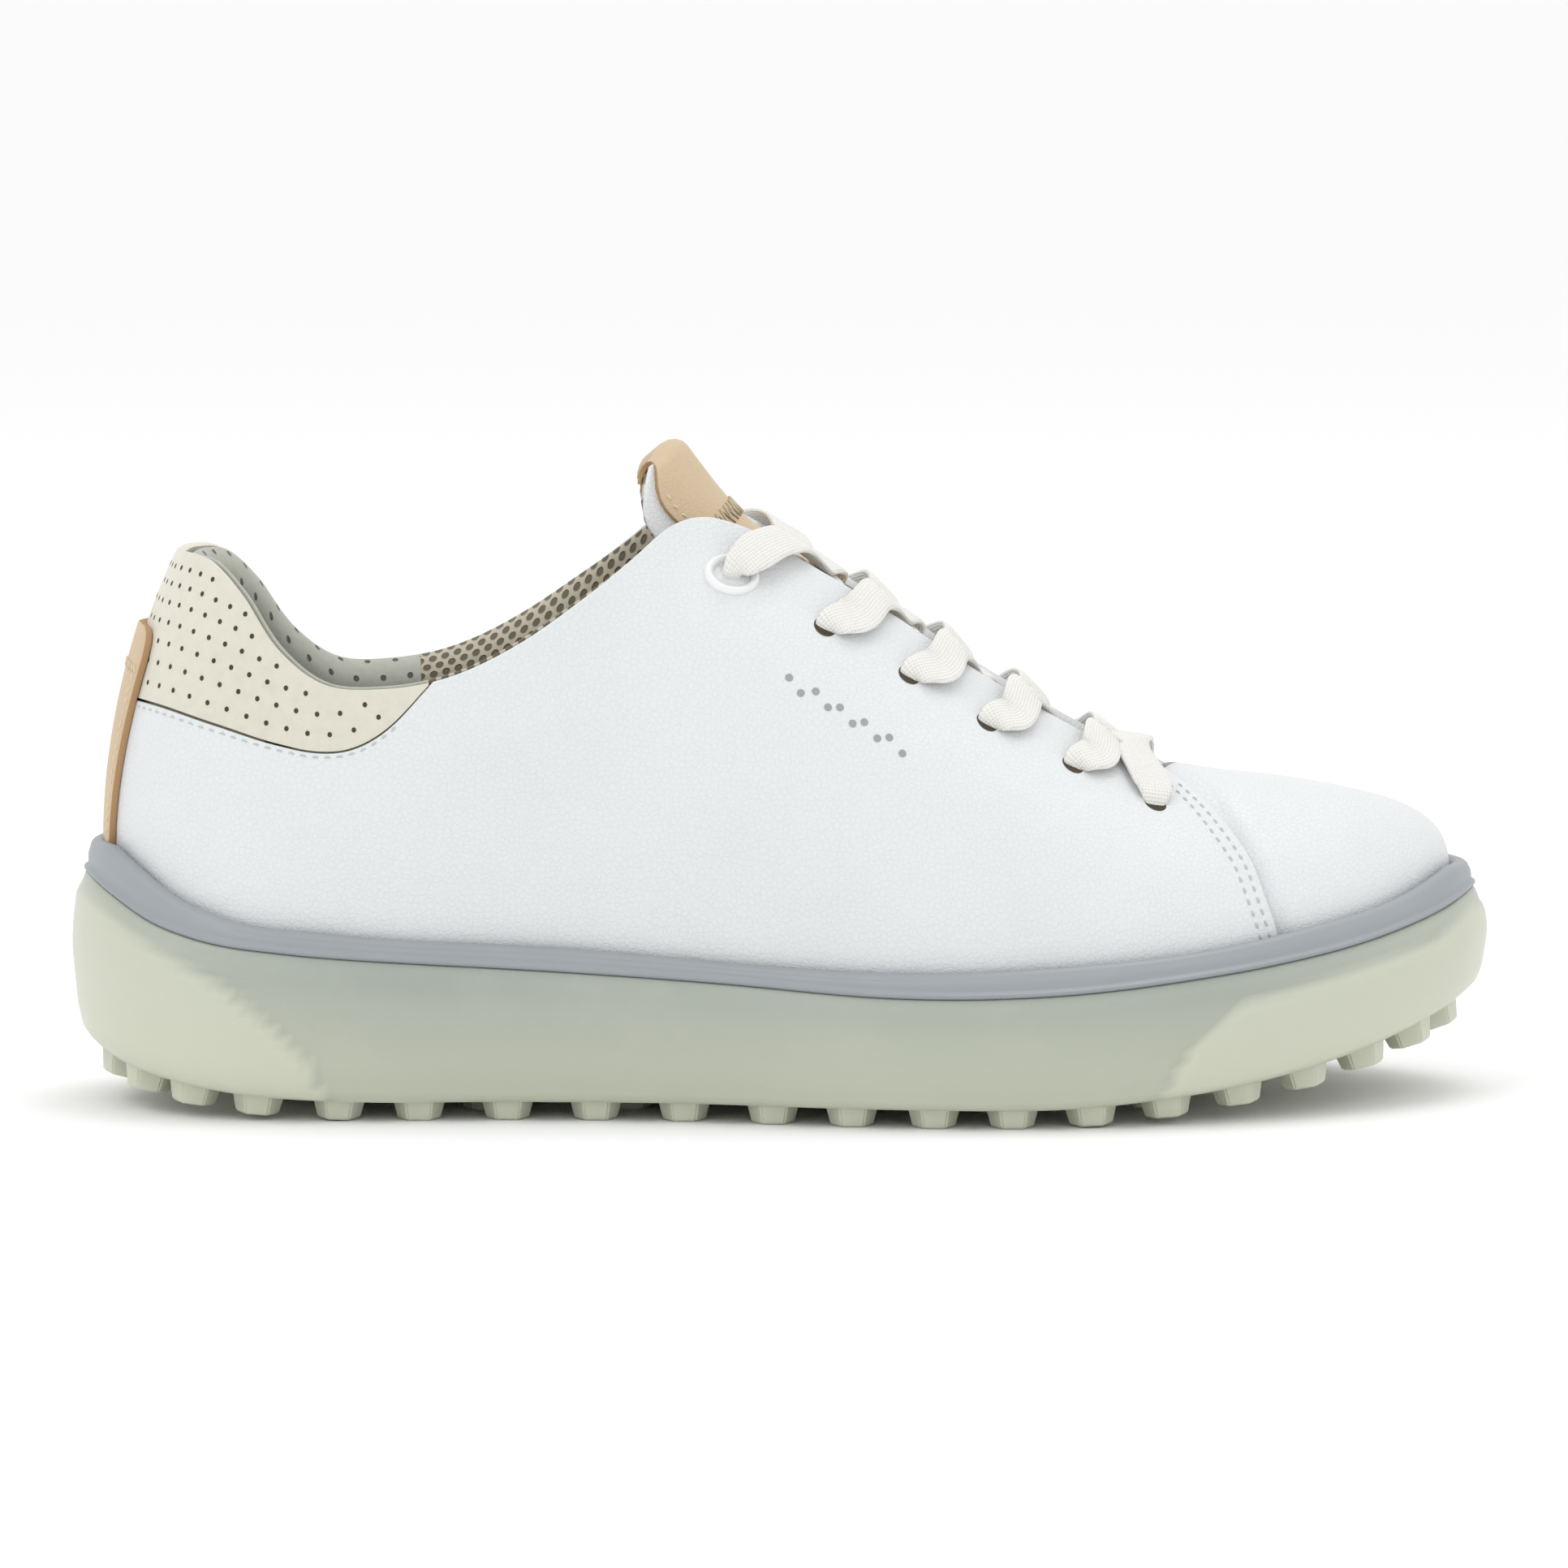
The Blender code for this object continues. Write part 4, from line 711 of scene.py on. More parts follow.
def shell(name, patches, thickness, paints, body="shoe", nodes=(), inside=(0, 0, 40), bevel=.35):
    """A sheet from grids of points, facing away from the inside point. Its rim takes the last paint."""
    points, faces, uvs = [], [], []
    for grid in patches:
        grid = np.asarray(grid)
        faces += grid_faces(grid.shape[0], grid.shape[1], len(points))
        along = np.concatenate([[0], np.cumsum(np.linalg.norm(np.diff(grid, axis=0), axis=2).mean(axis=1))])
        up = np.concatenate([[0], np.cumsum(np.linalg.norm(np.diff(grid, axis=1), axis=2).mean(axis=0))])
        uvs += [(a, b) for a in along for b in up]
        points += [tuple(p) for p in grid.reshape(-1, 3)]
    obj = finish_mesh(name, points, faces, paints, uvs, weld=True)
    centre = Vector(inside) * MM
    votes = sum(1 if (f.center - centre).dot(f.normal) > 0 else -1 for f in obj.data.polygons)
    if votes < 0:
        obj.data.flip_normals()
    solid = obj.modifiers.new("thickness", "SOLIDIFY")
    solid.thickness = thickness * MM
    solid.offset = -1
    solid.material_offset_rim = len(paints) - 1
    edge = obj.modifiers.new("rounded edge", "BEVEL")
    edge.width = bevel * MM
    edge.segments = 2
    edge.limit_method = "ANGLE"
    edge.angle_limit = math.radians(55)
    return claim(obj, body, nodes)


def claim(obj, body, nodes=()):
    """Says which body a piece rides on and which CAD nodes it replaces."""
    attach(obj, body)
    if nodes:
        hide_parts(*nodes)
    return obj


def loft(name, rings, paints, body="shoe", nodes=(), closed=False, smooth=50):
    """A body from closed rings of points, capped at both ends unless it closes on itself."""
    rings = np.asarray(rings)
    total, count = rings.shape[:2]
    last = total if closed else total - 1
    faces = [(i * count + k, i * count + (k + 1) % count, (i + 1) % total * count + (k + 1) % count,
              (i + 1) % total * count + k) for i in range(last) for k in range(count)]
    if not closed:
        for first in (0, (total - 1) * count):
            for k in range(count // 2):
                quad = [first + k, first + k + 1,
                        first + (count - k - 1) % count, first + (count - k) % count]
                faces.append(tuple(dict.fromkeys(quad)))
    run = lengths(rings.mean(axis=1))
    uvs = []
    for i, ring_points in enumerate(rings):
        middle = ring_points.mean(axis=0)
        spread = ring_points[0] - middle
        length = max(np.linalg.norm(spread), 1e-6)
        uvs += [(run[i], float((p - middle).dot(spread) / length)) for p in ring_points]
    obj = finish_mesh(name, rings.reshape(-1, 3), faces, paints, uvs, smooth)
    return claim(obj, body, nodes)


def column(side, u, levels, depth=0.0):
    """One line of points up the upper at station u, or at one station for each level."""
    levels = np.asarray(levels, float)
    stations = np.broadcast_to(np.asarray(u, float), levels.shape)
    return layer(side, stations, levels, np.broadcast_to(np.asarray(depth, float), levels.shape))


def ring(inset, height, count=150):
    """A closed ring round the shoe. inset and height may be functions of (x, side)."""
    points = []
    for side, shares in ((LATERAL, np.linspace(0, 1, count)), (MEDIAL, np.linspace(1, 0, count)[1:-1])):
        edge, out = plan(side, shares, 0 * shares)
        move = inset(edge[:, 0], side) if callable(inset) else np.full(len(shares), float(inset))
        z = height(edge[:, 0], side)
        at = edge - out * move[:, None]
        points += [(x, y, h) for (x, y), h in zip(at, z)]
    return points


# ---- sole ---------------------------------------------------------------------------------------

def facet_line(x):
    """Height of the line where the raised heel and toe bumpers meet the recessed waist."""
    heel, toe = (np.interp(x, *zip(*line)) for line in (HEEL_FACET, TOE_FACET))
    below_the_sole = -5
    return np.where(x < HEEL_FACET[-1][0], heel, np.where(x > TOE_FACET[0][0], toe, below_the_sole))


def level(line, lift):
    """Height of a ring that follows one of the lines along the shoe."""
    return lambda x, side: line(x) + lift


def sole_level(share):
    """Height of a ring at a share of the sidewall."""
    def height(x, side):
        return sole_base(x) * (1 - share) + rim_low(x) * share
    return height


def sole_inset(share, profile):
    """Inset of the sidewall at a share of its height, deeper above the facet line."""
    def inset(x, side):
        z = sole_base(x) * (1 - share) + rim_low(x) * share
        above = 1 / (1 + np.exp(-(z - facet_line(x)) / FACET_EDGE))
        return profile + FACET_DEPTH * above * np.interp(share, [0, .12, .8, 1], [.2, 1, 1, .2])
    return inset


def mark_bumper(mesh, values):
    """Stores how far each point belongs to the lighter heel and toe bumpers."""
    mark = mesh.attributes.new("bumper", "FLOAT", "POINT")
    mark.data.foreach_set("value", values)


def make_sole():
    """Outsole cup with its facets, the studs, and the midsole with its rolled rim."""
    shares = [0, .03, .08, .14, .2, .27, .34, .41, .48, .55, .62, .69, .76, .82, .88, .93, .97, 1]
    bulge = through([(0, 3.4), (.05, 1.9), (.15, .9), (.35, .1), (.6, -.4), (.8, .1), (.93, .8), (1, 1.9)])
    rings = [ring(inset, level(sole_base, 0)) for inset in (22, 9, 4.6)]
    rings += [ring(sole_inset(a, float(bulge(a))), sole_level(a)) for a in shares]
    rings += [ring(2.6, level(rim_low, .25)), ring(4.4, level(rim_low, -.2)), ring(5.2, level(sole_base, 9))]
    outsole = loft("outsole_look", rings, ["clear_rubber"], nodes=["outsole"])
    at = np.array([v.co for v in outsole.data.vertices]) / MM
    height = np.clip((at[:, 2] - facet_line(at[:, 0])) / FACET_TINT_EDGE, -30, 30)
    mark_bumper(outsole.data, 1 / (1 + np.exp(height)))
    make_stud_looks()
    foot = [(5.2, -1.5), (4.0, .1), (2.6, .3), (2.0, .75), (1.95, 1.2), (2.5, 1.6), (2.75, 1.9)]
    wall = [(2.75, .5), (2.85, .62), (3.1, .72)]
    roll = [(3.2, -1.3), (3.45, -.7), (4.0, -.2), (4.9, .05),
            (5.7, -.15), (6.3, -.7), (6.7, -1.6), (7.0, -4.4)]
    rings = [ring(inset, level(rim_low, lift)) for inset, lift in foot]
    rings += [ring(inset, lambda x, side, a=share: rim_low(x) * (1 - a) + rim_top(x) * a)
              for inset, share in wall]
    rings += [ring(inset, level(rim_top, lift)) for inset, lift in roll] + [ring(7.6, level(floor, -1))]
    loft("midsole_look", rings, ["grey_rubber"], nodes=["midsole"])


def make_stud_looks():
    """Tapered studs with softened edges, sunk into the sole."""
    work = bmesh.new()
    height = STUD_HEIGHT + STUD_SINK
    for x, y in stud_places():
        fall = float(sole_base(x + 1) - sole_base(x - 1)) / 2
        tilt = Matrix.Rotation(-math.atan(fall), 4, "Y")
        base = Vector((x, y, float(sole_base(x)))) * MM
        lift = Matrix.Translation((0, 0, (STUD_SINK - height / 2) * MM))
        place = Matrix.Translation(base) @ tilt @ lift @ Matrix.Rotation(math.pi / 6, 4, "Z")
        made = bmesh.ops.create_cone(work, cap_ends=True, segments=6, radius1=STUD_TIP * MM,
                                     radius2=STUD_ROOT * MM, depth=height * MM, matrix=place)
        edges = list({e for v in made["verts"] for e in v.link_edges})
        bmesh.ops.bevel(work, geom=edges, offset=.35 * MM, segments=2, affect="EDGES")
    mesh = bpy.data.meshes.new("studs")
    work.to_mesh(mesh)
    work.free()
    mesh.shade_smooth()
    mesh.set_sharp_from_angle(angle=math.radians(50))
    mark_bumper(mesh, np.full(len(mesh.vertices), .95))
    mesh.materials.append(PAINTS["clear_rubber"])
    claim(put("studs", mesh), "shoe", ())


# ---- upper --------------------------------------------------------------------------------------

def tabulated(function, low, high, count):
    """A function that interpolates between values of a slower one."""
    at = np.linspace(low, high, count)
    values = np.array([function(a) for a in at])
    return lambda x: np.interp(x, at, values)


def seam_tables(side):
    """The collar seam's level at each station, and the front panel seam's station at each level."""
    collar = tabulated(lambda u: collar_level(side, u), 0, .42, 60)
    vamp = tabulated(lambda t: vamp_station(side, t), -1, 1, 80)
    return collar, vamp


def rows_between(low, high, count):
    """Levels packed closer near the top edge, where the surface turns."""
    share = np.linspace(0, 1, count)
    return low + (high - low) * (1 - (1 - share)**1.35)


def collar_end(side):
    """The station where the collar seam meets the top line."""
    collar = SEAMS[side][0]
    return share_where(lambda u: collar(u) < .99, .2, .4)


def make_quarter_look(name, side):
    """One side of white leather, cut away under the collar panel and over the front panel's lap."""
    collar, vamp = SEAMS[side]
    end = collar_end(side)
    shares = np.concatenate([[-1, -.4], rows_between(0, 1, 40)])
    fronts = vamp(shares)
    grid = []
    for u in np.concatenate([np.linspace(HEEL_SEAM, .40, 90), np.linspace(.404, COLUMNS_END, 80)]):
        top = float(collar(u)) - PANEL_GAP if u < end else 1.0
        grid.append(column(side, u, np.where(shares > 0, shares * top, shares)))
    for share in np.linspace(0, 1, 22)[1:]:
        grid.append(column(side, COLUMNS_END + (fronts - COLUMNS_END) * share, shares))
    return shell(f"quarter_look_{name}", [grid], LEATHER, ["white_leather"], nodes=[f"quarter_{name}"])


def make_vamp_look():
    """Front panel over the toe. Its rear edge dips under the quarters (share past the seam, depth)."""
    dip = [(-.015, 2.1), (-.008, 2.1), (.001, 2.1), (.005, 1.7),
           (.009, 1.0), (.013, .45), (.018, .12), (.022, 0)]
    toe_start = .93
    shares = np.concatenate([[-1, -.4], rows_between(0, .94, 30), [.96, .98, 1]])
    patches = []
    for side in (LATERAL, MEDIAL):
        seam = SEAMS[side][1](shares)
        grid = [column(side, seam + past, shares, depth) for past, depth in dip]
        start = seam + dip[-1][0]
        grid += [column(side, start + (toe_start - start) * a, shares) for a in np.linspace(0, 1, 26)[1:]]
        grid += [column(side, u, shares) for u in np.linspace(toe_start, 1, 22)[1:]]
        patches.append(grid)
    return shell("vamp_look", patches, LEATHER, ["white_leather"], nodes=["vamp"])


def make_collar_look():
    """Perforated panel round the back of the top edge."""
    grid = []
    for side in (LATERAL, MEDIAL):
        stations = np.linspace(0, collar_end(side) - .001, 80)
        for u in (stations[::-1] if side == LATERAL else stations[1:]):
            low = float(SEAMS[side][0](u)) + PANEL_GAP
            grid.append(column(side, u, rows_between(low, 1.0, 22), COLLAR_SET))
    shell("collar_look", [grid], COLLAR_LEATHER, ["nubuck"], nodes=["collar_panel"], bevel=.45)
    make_punched_holes()


def disc(points, faces, centre, normal, radius, sides=8, stretch=1.0):
    """Adds a small sunk dish to a list of points and faces."""
    across = np.cross(normal, (0, 0, 1.))
    across /= np.linalg.norm(across)
    up = np.cross(across, normal)
    first = len(points)
    for k in range(sides):
        a = 2 * math.pi * k / sides
        points.append(centre + across * radius * math.cos(a)
                      + up * radius * stretch * math.sin(a) + normal * .05)
    points.append(centre + normal * .015)
    faces.extend((first + k, first + (k + 1) % sides, first + sides) for k in range(sides))


def make_punched_holes():
    """Rows of small near-black discs over the collar panel, painted with the shade inside its punched holes.
    """
    points, faces = [], []
    for side in (LATERAL, MEDIAL):
        collar = SEAMS[side][0]
        for row in range(14):
            for step in range(30):
                away = (step + (.5 if row % 2 else 0)) * HOLE_SPACING + 1.5
                u = away / HALF_LENGTH[side]
                if u > HEEL_LINING_END:
                    continue
                low = float(collar(u))
                height = float(np.linalg.norm(upper(side, u, 1.0) - upper(side, u, low)))
                t = low + (row * HOLE_ROW + 3.2) / max(height, 1) * (1 - low)
                if height < 5 or t > 1 - 2.2 / height * (1 - low):
                    continue
                under_the_strip = away < 15 and upper(side, u, t)[2] < 90
                if under_the_strip:
                    continue
                place = layer(side, u, t, COLLAR_SET)
                disc(points, faces, place, outward(side, u, t), COLLAR_HOLE, stretch=1.15)
    # the hole paint is the painted shade inside the holes
    claim(finish_mesh("collar_holes", points, faces, ["hole"]), "shoe", ())


# Depth of the linings at each level, behind the padded collar and elsewhere.
PADDED = through([(-1, 3.6), (.5, 3.6), (.64, 4.2), (.76, 6.2),
                  (.86, 7.2), (.93, 6.6), (.975, 4.6), (1, 2.2)])
UNPADDED = through([(-1, 3.5), (.5, 3.5), (.8, 3.5), (.9, 3.4), (.97, 3.0), (1, 2.3)])


def look_depth(u, t):
    """Depth of the lining: full behind the padded collar, close to the leather at the throat."""
    along = np.clip((.455 - np.asarray(u, float)) / .09, 0, 1)
    soft = along * along * (3 - 2 * along)
    return PADDED(t) * soft + UNPADDED(t) * (1 - soft) + LAP_ROOM * np.clip((np.asarray(u) - .66) / .06, 0, 1)


def make_linings():
    """Padded suede round the heel, and a mesh lining along each side."""
    levels = np.concatenate([[-1, -.5, 0, .15, .3, .45], np.linspace(.55, .995, 26)])
    grid = []
    for side in (LATERAL, MEDIAL):
        stations = np.linspace(0, HEEL_LINING_END, 46)
        for u in (stations[::-1] if side == LATERAL else stations[1:]):
            grid.append(column(side, u, levels, look_depth(u, levels)))
    heel = shell("heel_lining_look", [grid], LINING, ["lining_suede"], nodes=["heel_lining"])
    for name, side in SIDES.items():
        seam = SEAMS[side][1](levels)
        grid = [column(side, u, levels, look_depth(u, levels) + .35 * np.clip((.32 - u) / .02, 0, 1))
                for u in np.linspace(QUARTER_LINING_START, COLUMNS_END, 70)]
        for share in np.linspace(0, 1, 10)[1:]:
            stations = COLUMNS_END + (seam - PANEL_GAP - COLUMNS_END) * share
            grid.append(column(side, stations, levels, look_depth(stations, levels)))
        shell(f"quarter_lining_look_{name}", [grid], LINING, ["lining_mesh"], nodes=[f"quarter_lining_{name}"])


def make_strip_look():
    """Tan strip down the heel, with its stitching. The outline is its half width at each share of height."""
    outline = through([(0, 10.6), (.15, 11.2), (.35, 12.4), (.6, 14.2), (.8, 15.6), (.9, 15.9), (.96, 15.0),
                       (.99, 13.2), (1, 11.6)])
    rise = through([(0, .03), (1, .712)])
    shares = np.concatenate([np.linspace(0, .85, 22), np.linspace(.87, 1, 16)])

    def spot(share, across, depth):
        side = LATERAL if across < 0 else MEDIAL
        return layer(side, abs(across) * outline(share) / HALF_LENGTH[side], rise(share), depth)

    grid = [[spot(share, across, STRIP_DEPTH) for share in shares] for across in np.linspace(-1, 1, 31)]
    shell("heel_strip_look", [grid], HEEL_STRIP, ["tan_leather", "tan_edge"], nodes=["heel_strip"],
          bevel=.3)
    routes = [[spot(share, across, STRIP_DEPTH) for share in np.linspace(.03, .86, 60)]
              for across in (-.84, .84)]
    zigzag = [spot(.80 + (.028 if k % 2 else 0), across, STRIP_DEPTH - .02)
              for k, across in enumerate(np.linspace(-.9, .9, 27))]
    stitch("heel_strip_stitches", routes, "tan_thread", (-122, 0, 60), pitch=2.3)
    thread("heel_strip_zigzag", zigzag, "tan_thread", ZIGZAG_RADIUS, "shoe")


def thread(name, route, paint, radius, body):
    """A thread laid through the given points."""
    curve = bpy.data.curves.new(name, "CURVE")
    curve.dimensions = "3D"
    curve.bevel_depth = radius * MM
    curve.bevel_resolution = 1
    curve.use_fill_caps = True
    line = curve.splines.new("POLY")
    line.points.add(len(route) - 1)
    for point, place in zip(line.points, route):
        point.co = (*(np.asarray(place) * MM), 1)
    curve.materials.append(PAINTS[paint])
    claim(put(name, curve), body)


def stitch(name, routes, paint, centre, pitch, radius=.3, body="shoe"):
    """Stitches along routes: short rounded threads that dip at both ends, facing away from the centre."""
    length = .72                     # of a stitch, as a share of the pitch
    sections = [(.35, -.22), (.85, .02), (1, .1), (.85, .02), (.35, -.22)]    # relative radius, height
    sides = 6
    points, faces = [], []
    for route in routes:
        route = np.asarray(route, float)
        run = lengths(route)
        for number in range(int(run[-1] / pitch)):
            span = number * pitch + np.linspace(0, pitch * length, 5)
            line = np.stack([np.interp(span, run, route[:, k]) for k in range(3)], axis=1)
            way = line[-1] - line[0]
            way /= max(np.linalg.norm(way), 1e-9)
            out = line[2] - np.asarray(centre, float)
            out -= way * out.dot(way)
            out /= np.linalg.norm(out)
            across = np.cross(way, out)
            first = len(points)
            for middle, (size, lift) in zip(line, sections):
                for k in range(sides):
                    a = 2 * math.pi * k / sides
                    points.append(middle + out * (lift + radius * size * math.sin(a) * .8)
                                  + across * radius * size * math.cos(a))
            for r in range(first, first + 4 * sides, sides):
                faces += [(r + k, r + (k + 1) % sides, r + sides + (k + 1) % sides, r + sides + k)
                          for k in range(sides)]
            faces += [tuple(end + k for k in range(sides)) for end in (first, first + 4 * sides)]
    claim(finish_mesh(name, points, faces, [paint]), body)


def make_seam_stitches():
    """Two rows behind the front panel's seam, a bar at its top end, and one row under the collar seam."""
    forefoot, heel = (60, 0, 30), (-90, 0, 40)
    bar_low, bar_high = .90, .955
    for name, side in SIDES.items():
        collar, vamp = SEAMS[side]

        def behind_seam(distance, t):
            return layer(side, vamp(t) - distance / HALF_LENGTH[side], t, 0)

        rows = [[behind_seam(distance, t) for t in np.linspace(.03, bar_low, 50)] for distance in (2.0, 4.2)]
        stitch(f"seam_stitches_{name}", rows, "thread", forefoot, pitch=2.3)
        bar = [[behind_seam(distance, t) for distance in np.linspace(2, 10, 12)] for t in (bar_low, bar_high)]
        bar.append([behind_seam(10, t) for t in np.linspace(bar_low, bar_high, 6)])
        stitch(f"bar_stitches_{name}", bar, "thread", forefoot, pitch=1.9)
        row = [layer(side, u, collar(u) - .018, 0) for u in np.linspace(.04, .285, 120)]
        stitch(f"collar_stitches_{name}", [row], "thread", heel, pitch=2.3, radius=.22)


def make_vents():
    """A short slanting group of vent holes on each quarter, drawn as grey discs painted with the shade inside
    them.
    """
    points, faces = [], []
    for side in (LATERAL, MEDIAL):
        for k in range(5):
            for row in range(2):
                x = (k + row / 2) * VENT_SPACING
                u, t = locate(side, x, 83.4 - 2.8 * (k + row))
                disc(points, faces, layer(side, u, t, -.01), outward(side, u, t), VENT_RADIUS, sides=12)
    # the vent paint is the painted shade inside the holes
    claim(finish_mesh("vent_holes", points, faces, ["vent"]), "shoe", ())


# ---- tongue and eyelets -------------------------------------------------------------------------

def make_tongue_look():
    """Tongue: a leather face with rounded corners, a padded lining behind it, and the label."""
    shares = np.linspace(0, .995, 60)
    turns = np.linspace(-1, 1, 41)
    corner = through([(0, 1), (.93, 1), (.97, .97), (.99, .92), (1, .86)])
    face = [[tongue(s, t * float(corner(s)), 0)[0] for s in shares] for t in turns]
    shell("tongue_face", [face], TONGUE_LEATHER, ["white_leather"], "tongue", ["tongue_outer"],
          inside=(40, 0, 30), bevel=.3)
    profile = []
    for s in np.linspace(.01, .99, 50):
        near, far = [], []
        for t in np.linspace(-.985, .985, 25):
            puff = (1 - abs(t)**4) * min(1, (1 - s) / .05 + .25)
            near.append(tongue(s, t * float(corner(s)), 1.3)[0])
            far.append(tongue(s, t * float(corner(s)), 2.2 + 3.4 * puff)[0])
        profile.append(near + far[::-1])
    pad = loft("tongue_padding", profile, ["lining_mesh"], "tongue", ["tongue_lining", "tongue_foam"])
    make_label()


def make_label():
    """Tan label: from under the laces up the tongue, over its top edge and down its back."""
    rounds = through([(0, .3), (.03, .42), (.08, .5), (.3, .56), (.6, .64), (.85, .80), (1, .84)])
    middle, half = (LABEL_BACK - LABEL_LIFT) / 2, (LABEL_BACK + LABEL_LIFT) / 2
    grid = []
    for turn in np.linspace(-1, 1, 21):
        line = [tongue(s, turn * float(rounds(share)), -LABEL_LIFT)[0]
                for share, s in zip(np.linspace(0, 1, 34), np.linspace(LABEL_BOTTOM, LABEL_TOP, 34))]
        reach = turn * float(rounds(1))
        top, normal = tongue(LABEL_TOP, reach)
        way = top - tongue(LABEL_TOP - .015, reach)[0]
        way /= np.linalg.norm(way)
        for angle in np.linspace(0, math.pi, 9):
            line.append(top - normal * (middle - half * math.cos(angle)) + way * 3.2 * math.sin(angle))
        line += [tongue(s, reach * .95, LABEL_BACK)[0] for s in np.linspace(LABEL_TOP, LABEL_BACK_END, 9)]
        grid.append(line)
    shell("label_look", [grid], LABEL_THICK, ["tan_leather", "tan_edge"], "tongue", ["tongue_label"],
          inside=(0, 0, 70), bevel=.25)
    zigzag = [tongue(.885 + (.022 if k % 2 else 0), turn, -LABEL_THICK - .3)[0]
              for k, turn in enumerate(np.linspace(-.62, .62, 31))]
    thread("label_zigzag", zigzag, "tan_thread", .28, "tongue")
    length = LABEL_TOP - LABEL_BOTTOM
    routes = [[tongue(s, side * (float(rounds((s - LABEL_BOTTOM) / length)) - .07), -LABEL_THICK - .15)[0]
               for s in np.linspace(.61, .97, 30)] for side in (-1, 1)]
    stitch("label_stitches", routes, "tan_thread", (0, 0, 60), pitch=2.2, radius=.24, body="tongue")


def make_eyelet_look(name, side):
    """Oval enamelled grommet of the top pair."""
    point, normal, along = eyelet_frame(side, 0)
    across = np.cross(normal, along)
    bore = GROMMET_BARREL - GROMMET_WALL
    rounds = [(bore, -5), (bore, -.3), (bore + .15, .6), (bore + .5, 1.05), (bore + .95, 1.2),
              (GROMMET_FLANGE - .5, 1.05), (GROMMET_FLANGE - .1, .6), (GROMMET_FLANGE, .1),
              (GROMMET_FLANGE - .1, -.4), (GROMMET_BARREL, -.5), (GROMMET_BARREL, -5)]
    rings = []
    for k in range(48):
        angle = 2 * math.pi * k / 48
        rings.append([point + along * (r + GROMMET_LONG) * math.cos(angle)
                      + across * r * math.sin(angle) + normal * h for r, h in rounds])
    loft(f"eyelet_look_{name}", rings, ["eyelet"], nodes=[f"top_eyelet_{name}"],
         closed=True, smooth=60)


def make_punched_eyelets():
    """Near-black discs in the punched lower eyelets, painted with the shade inside the holes."""
    points, faces = [], []
    for side in (LATERAL, MEDIAL):
        for index in range(1, len(EYELETS)):
            point, normal, _ = eyelet_frame(side, index)
            disc(points, faces, point, normal, HOLE_RADIUS * .85, sides=20)
    # the hole paint is the painted shade inside the eyelets
    claim(finish_mesh("punched_eyelets", points, faces, ["hole"]), "shoe", ())


# ---- lace ---------------------------------------------------------------------------------------

def lace_section(point, wide, up, share, number):
    """One section of the lace: flat with thick edges, and narrower where it goes through a hole."""
    swell = math.sqrt(share)
    width = LACE_WIDTH_IN_HOLE + (LACE_WIDTH - LACE_WIDTH_IN_HOLE) * swell
    width += .25 * math.sin(number * .37) * share
    thick = LACE_THICK_IN_HOLE + (LACE_THICK - LACE_THICK_IN_HOLE) * swell
    section = []
    for k in range(16):
        a = 2 * math.pi * k / 16
        c, s = math.cos(a), math.sin(a)
        out, rise = math.copysign(abs(c)**.7, c), math.copysign(abs(s)**.62, s)
        edge = 1 + .22 * abs(out)**5
        section.append(point + wide * width / 2 * out + up * thick / 2 * rise * edge)
    return section


def make_lace_look():
    """The whole lace, from one tucked end over the bottom bar to the other."""
    last = len(EYELETS) - 1
    edges = [over_edge(side, last, 0) for side in (LATERAL, MEDIAL)]
    middle = (edges[0][0] + edges[1][0]) / 2 + np.array([.2, 0, .6])
    route = lace_half(LATERAL)[::-1] + [edges[0], (middle, edges[0][1], 1), edges[1]] + lace_half(MEDIAL)
    points = np.array([p for p, _, _ in route])
    distance = lengths(points)
    curve = through([(d, *p, *along, share) for d, (p, along, share) in zip(distance, route)])
    values = curve(np.arange(0, distance[-1], LACE_STEP))
    for _ in range(4):
        values[1:-1] = (values[:-2] + 2 * values[1:-1] + values[2:]) / 4
    points, alongs, shares = values[:, :3], values[:, 3:6], np.clip(values[:, 6], 0, 1)
    run = np.gradient(points, axis=0)
    run /= np.linalg.norm(run, axis=1)[:, None]
    rings = []
    for number, (point, along, way, share) in enumerate(zip(points, alongs, run, shares)):
        wide = along - way * along.dot(way)
        wide /= np.linalg.norm(wide)
        rings.append(lace_section(point, wide, np.cross(wide, way), share, number))
    loft("lace_look", rings, ["lace"], nodes=["lace"], smooth=0)


# ---- scene --------------------------------------------------------------------------------------

def dress_kept_nodes(nodes):
    """Gives each CAD piece that still shows its procedural material."""
    slots = {entry["node"]: entry["material_slot"] for entry in FRAME["record"]["subparts"]}
    for name in nodes:
        obj = FRAME["nodes"][name]
        obj.data.materials.clear()
        obj.data.materials.append(PAINTS[slots[name]])


def make_floor(ground):
    """Plain pale floor, wide enough that its far edge can't be seen."""
    work = bmesh.new()
    bmesh.ops.create_grid(work, x_segments=1, y_segments=1, size=FLOOR_REACH)
    mesh = bpy.data.meshes.new("floor")
    work.to_mesh(mesh)
    work.free()
    mesh.materials.append(Paint("pale_floor", (.96, .96, .96), .9).done())
    obj = put("floor", mesh)
    obj.location = (0, 0, ground)


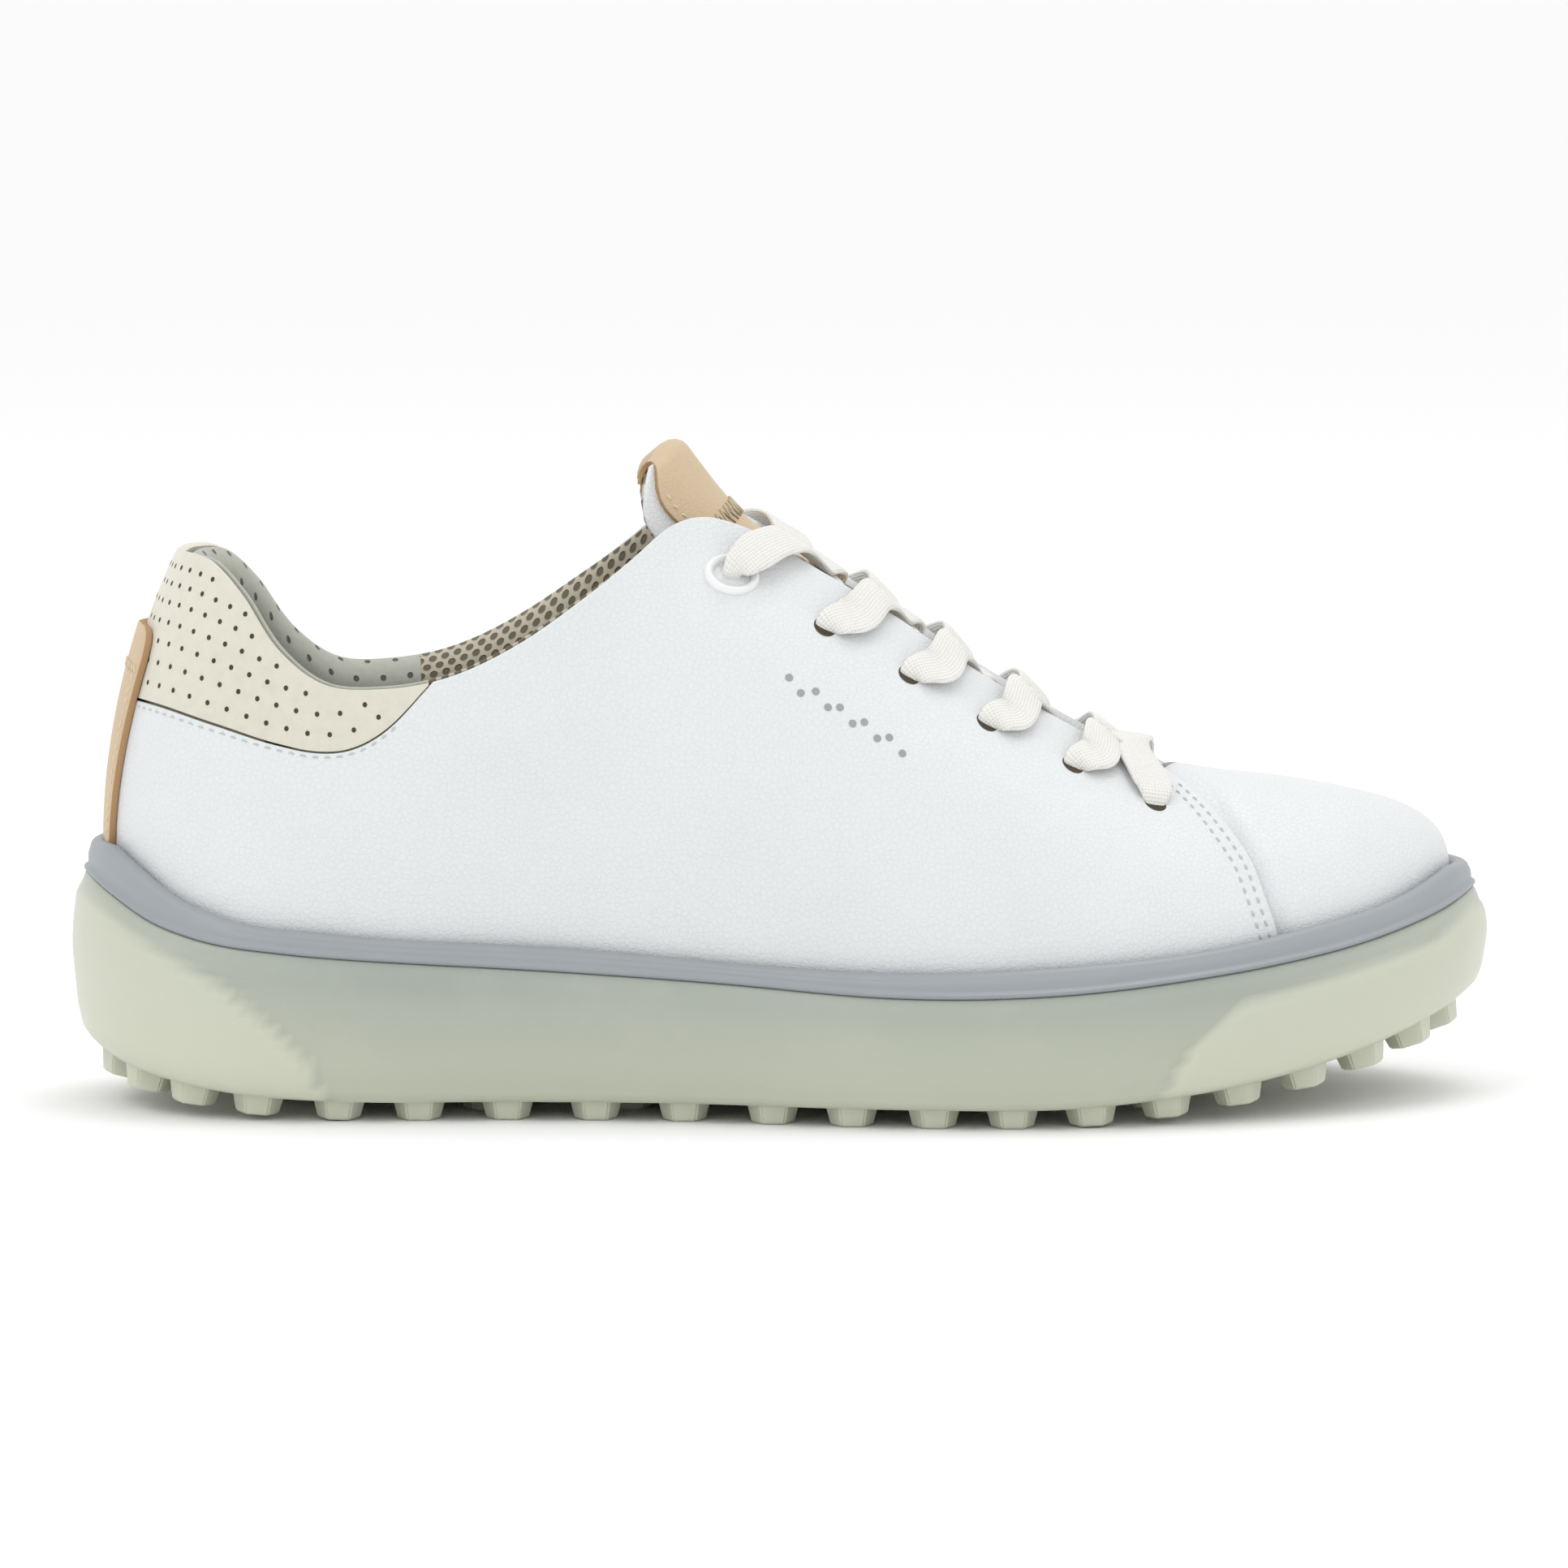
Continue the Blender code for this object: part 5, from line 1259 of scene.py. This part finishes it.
def make_lights():
    """White surroundings and two soft lamps over the shoe."""
    world = bpy.data.worlds.new("studio")
    world.use_nodes = True
    back = world.node_tree.nodes["Background"]
    back.inputs["Color"].default_value = (1, 1, 1, 1)
    back.inputs["Strength"].default_value = 1.0
    bpy.context.scene.world = world
    for name, (place, size) in LAMPS.items():
        lamp = bpy.data.lights.new(name, "AREA")
        lamp.energy = LAMP_POWER
        lamp.size = size
        obj = put(name, lamp)
        obj.location = place
        obj.rotation_euler = (Vector((0, 0, .05)) - Vector(place)).to_track_quat("-Z", "Y").to_euler()


def make_camera(ground):
    """A long lens level with the shoe, a little above it."""
    camera = bpy.data.cameras.new("camera")
    camera.sensor_width = 36
    camera.lens = CAMERA_LENS
    camera.clip_start = .05
    obj = put("camera", camera)
    pitch, turn = math.radians(CAMERA_PITCH), math.radians(CAMERA_TURN)
    way = Vector((math.sin(turn) * math.cos(pitch), -math.cos(turn) * math.cos(pitch), math.sin(pitch)))
    obj.location = Vector((0, 0, ground + CAMERA_AIM)) + way * CAMERA_DISTANCE
    obj.rotation_euler = (-way).to_track_quat("-Z", "Y").to_euler()
    bpy.context.scene.camera = obj
    bpy.context.scene.view_settings.view_transform = "Standard"


def make_studio():
    ground = float(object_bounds()[0][2])
    make_floor(ground)
    make_lights()
    make_camera(ground)


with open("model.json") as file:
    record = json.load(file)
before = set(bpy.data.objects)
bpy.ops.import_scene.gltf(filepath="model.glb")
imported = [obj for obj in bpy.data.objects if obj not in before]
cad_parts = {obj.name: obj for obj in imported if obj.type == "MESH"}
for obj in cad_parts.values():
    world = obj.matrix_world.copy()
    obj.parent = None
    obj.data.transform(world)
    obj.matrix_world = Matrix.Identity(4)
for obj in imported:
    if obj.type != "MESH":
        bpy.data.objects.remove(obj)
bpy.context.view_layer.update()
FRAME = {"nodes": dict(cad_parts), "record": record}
PAINTS = make_paints()
HALF_LENGTH = {side: float(lengths(HALVES[side][1])[-1]) for side in (LATERAL, MEDIAL)}
SEAMS = {side: seam_tables(side) for side in (LATERAL, MEDIAL)}

make_sole()
make_vamp_look()
make_collar_look()
make_linings()
make_strip_look()
make_seam_stitches()
make_vents()
make_tongue_look()
make_punched_eyelets()
for side_name, side_sign in SIDES.items():
    make_quarter_look(side_name, side_sign)
    make_eyelet_look(side_name, side_sign)
make_lace_look()
dress_kept_nodes(["shank", "insole_board", "footbed_foam", "footbed_cover", "heel_counter", "toe_puff",
                  "collar_foam", "vamp_lining", "eyestay_lateral", "eyestay_medial", "aglet_1", "aglet_2"])
make_studio()
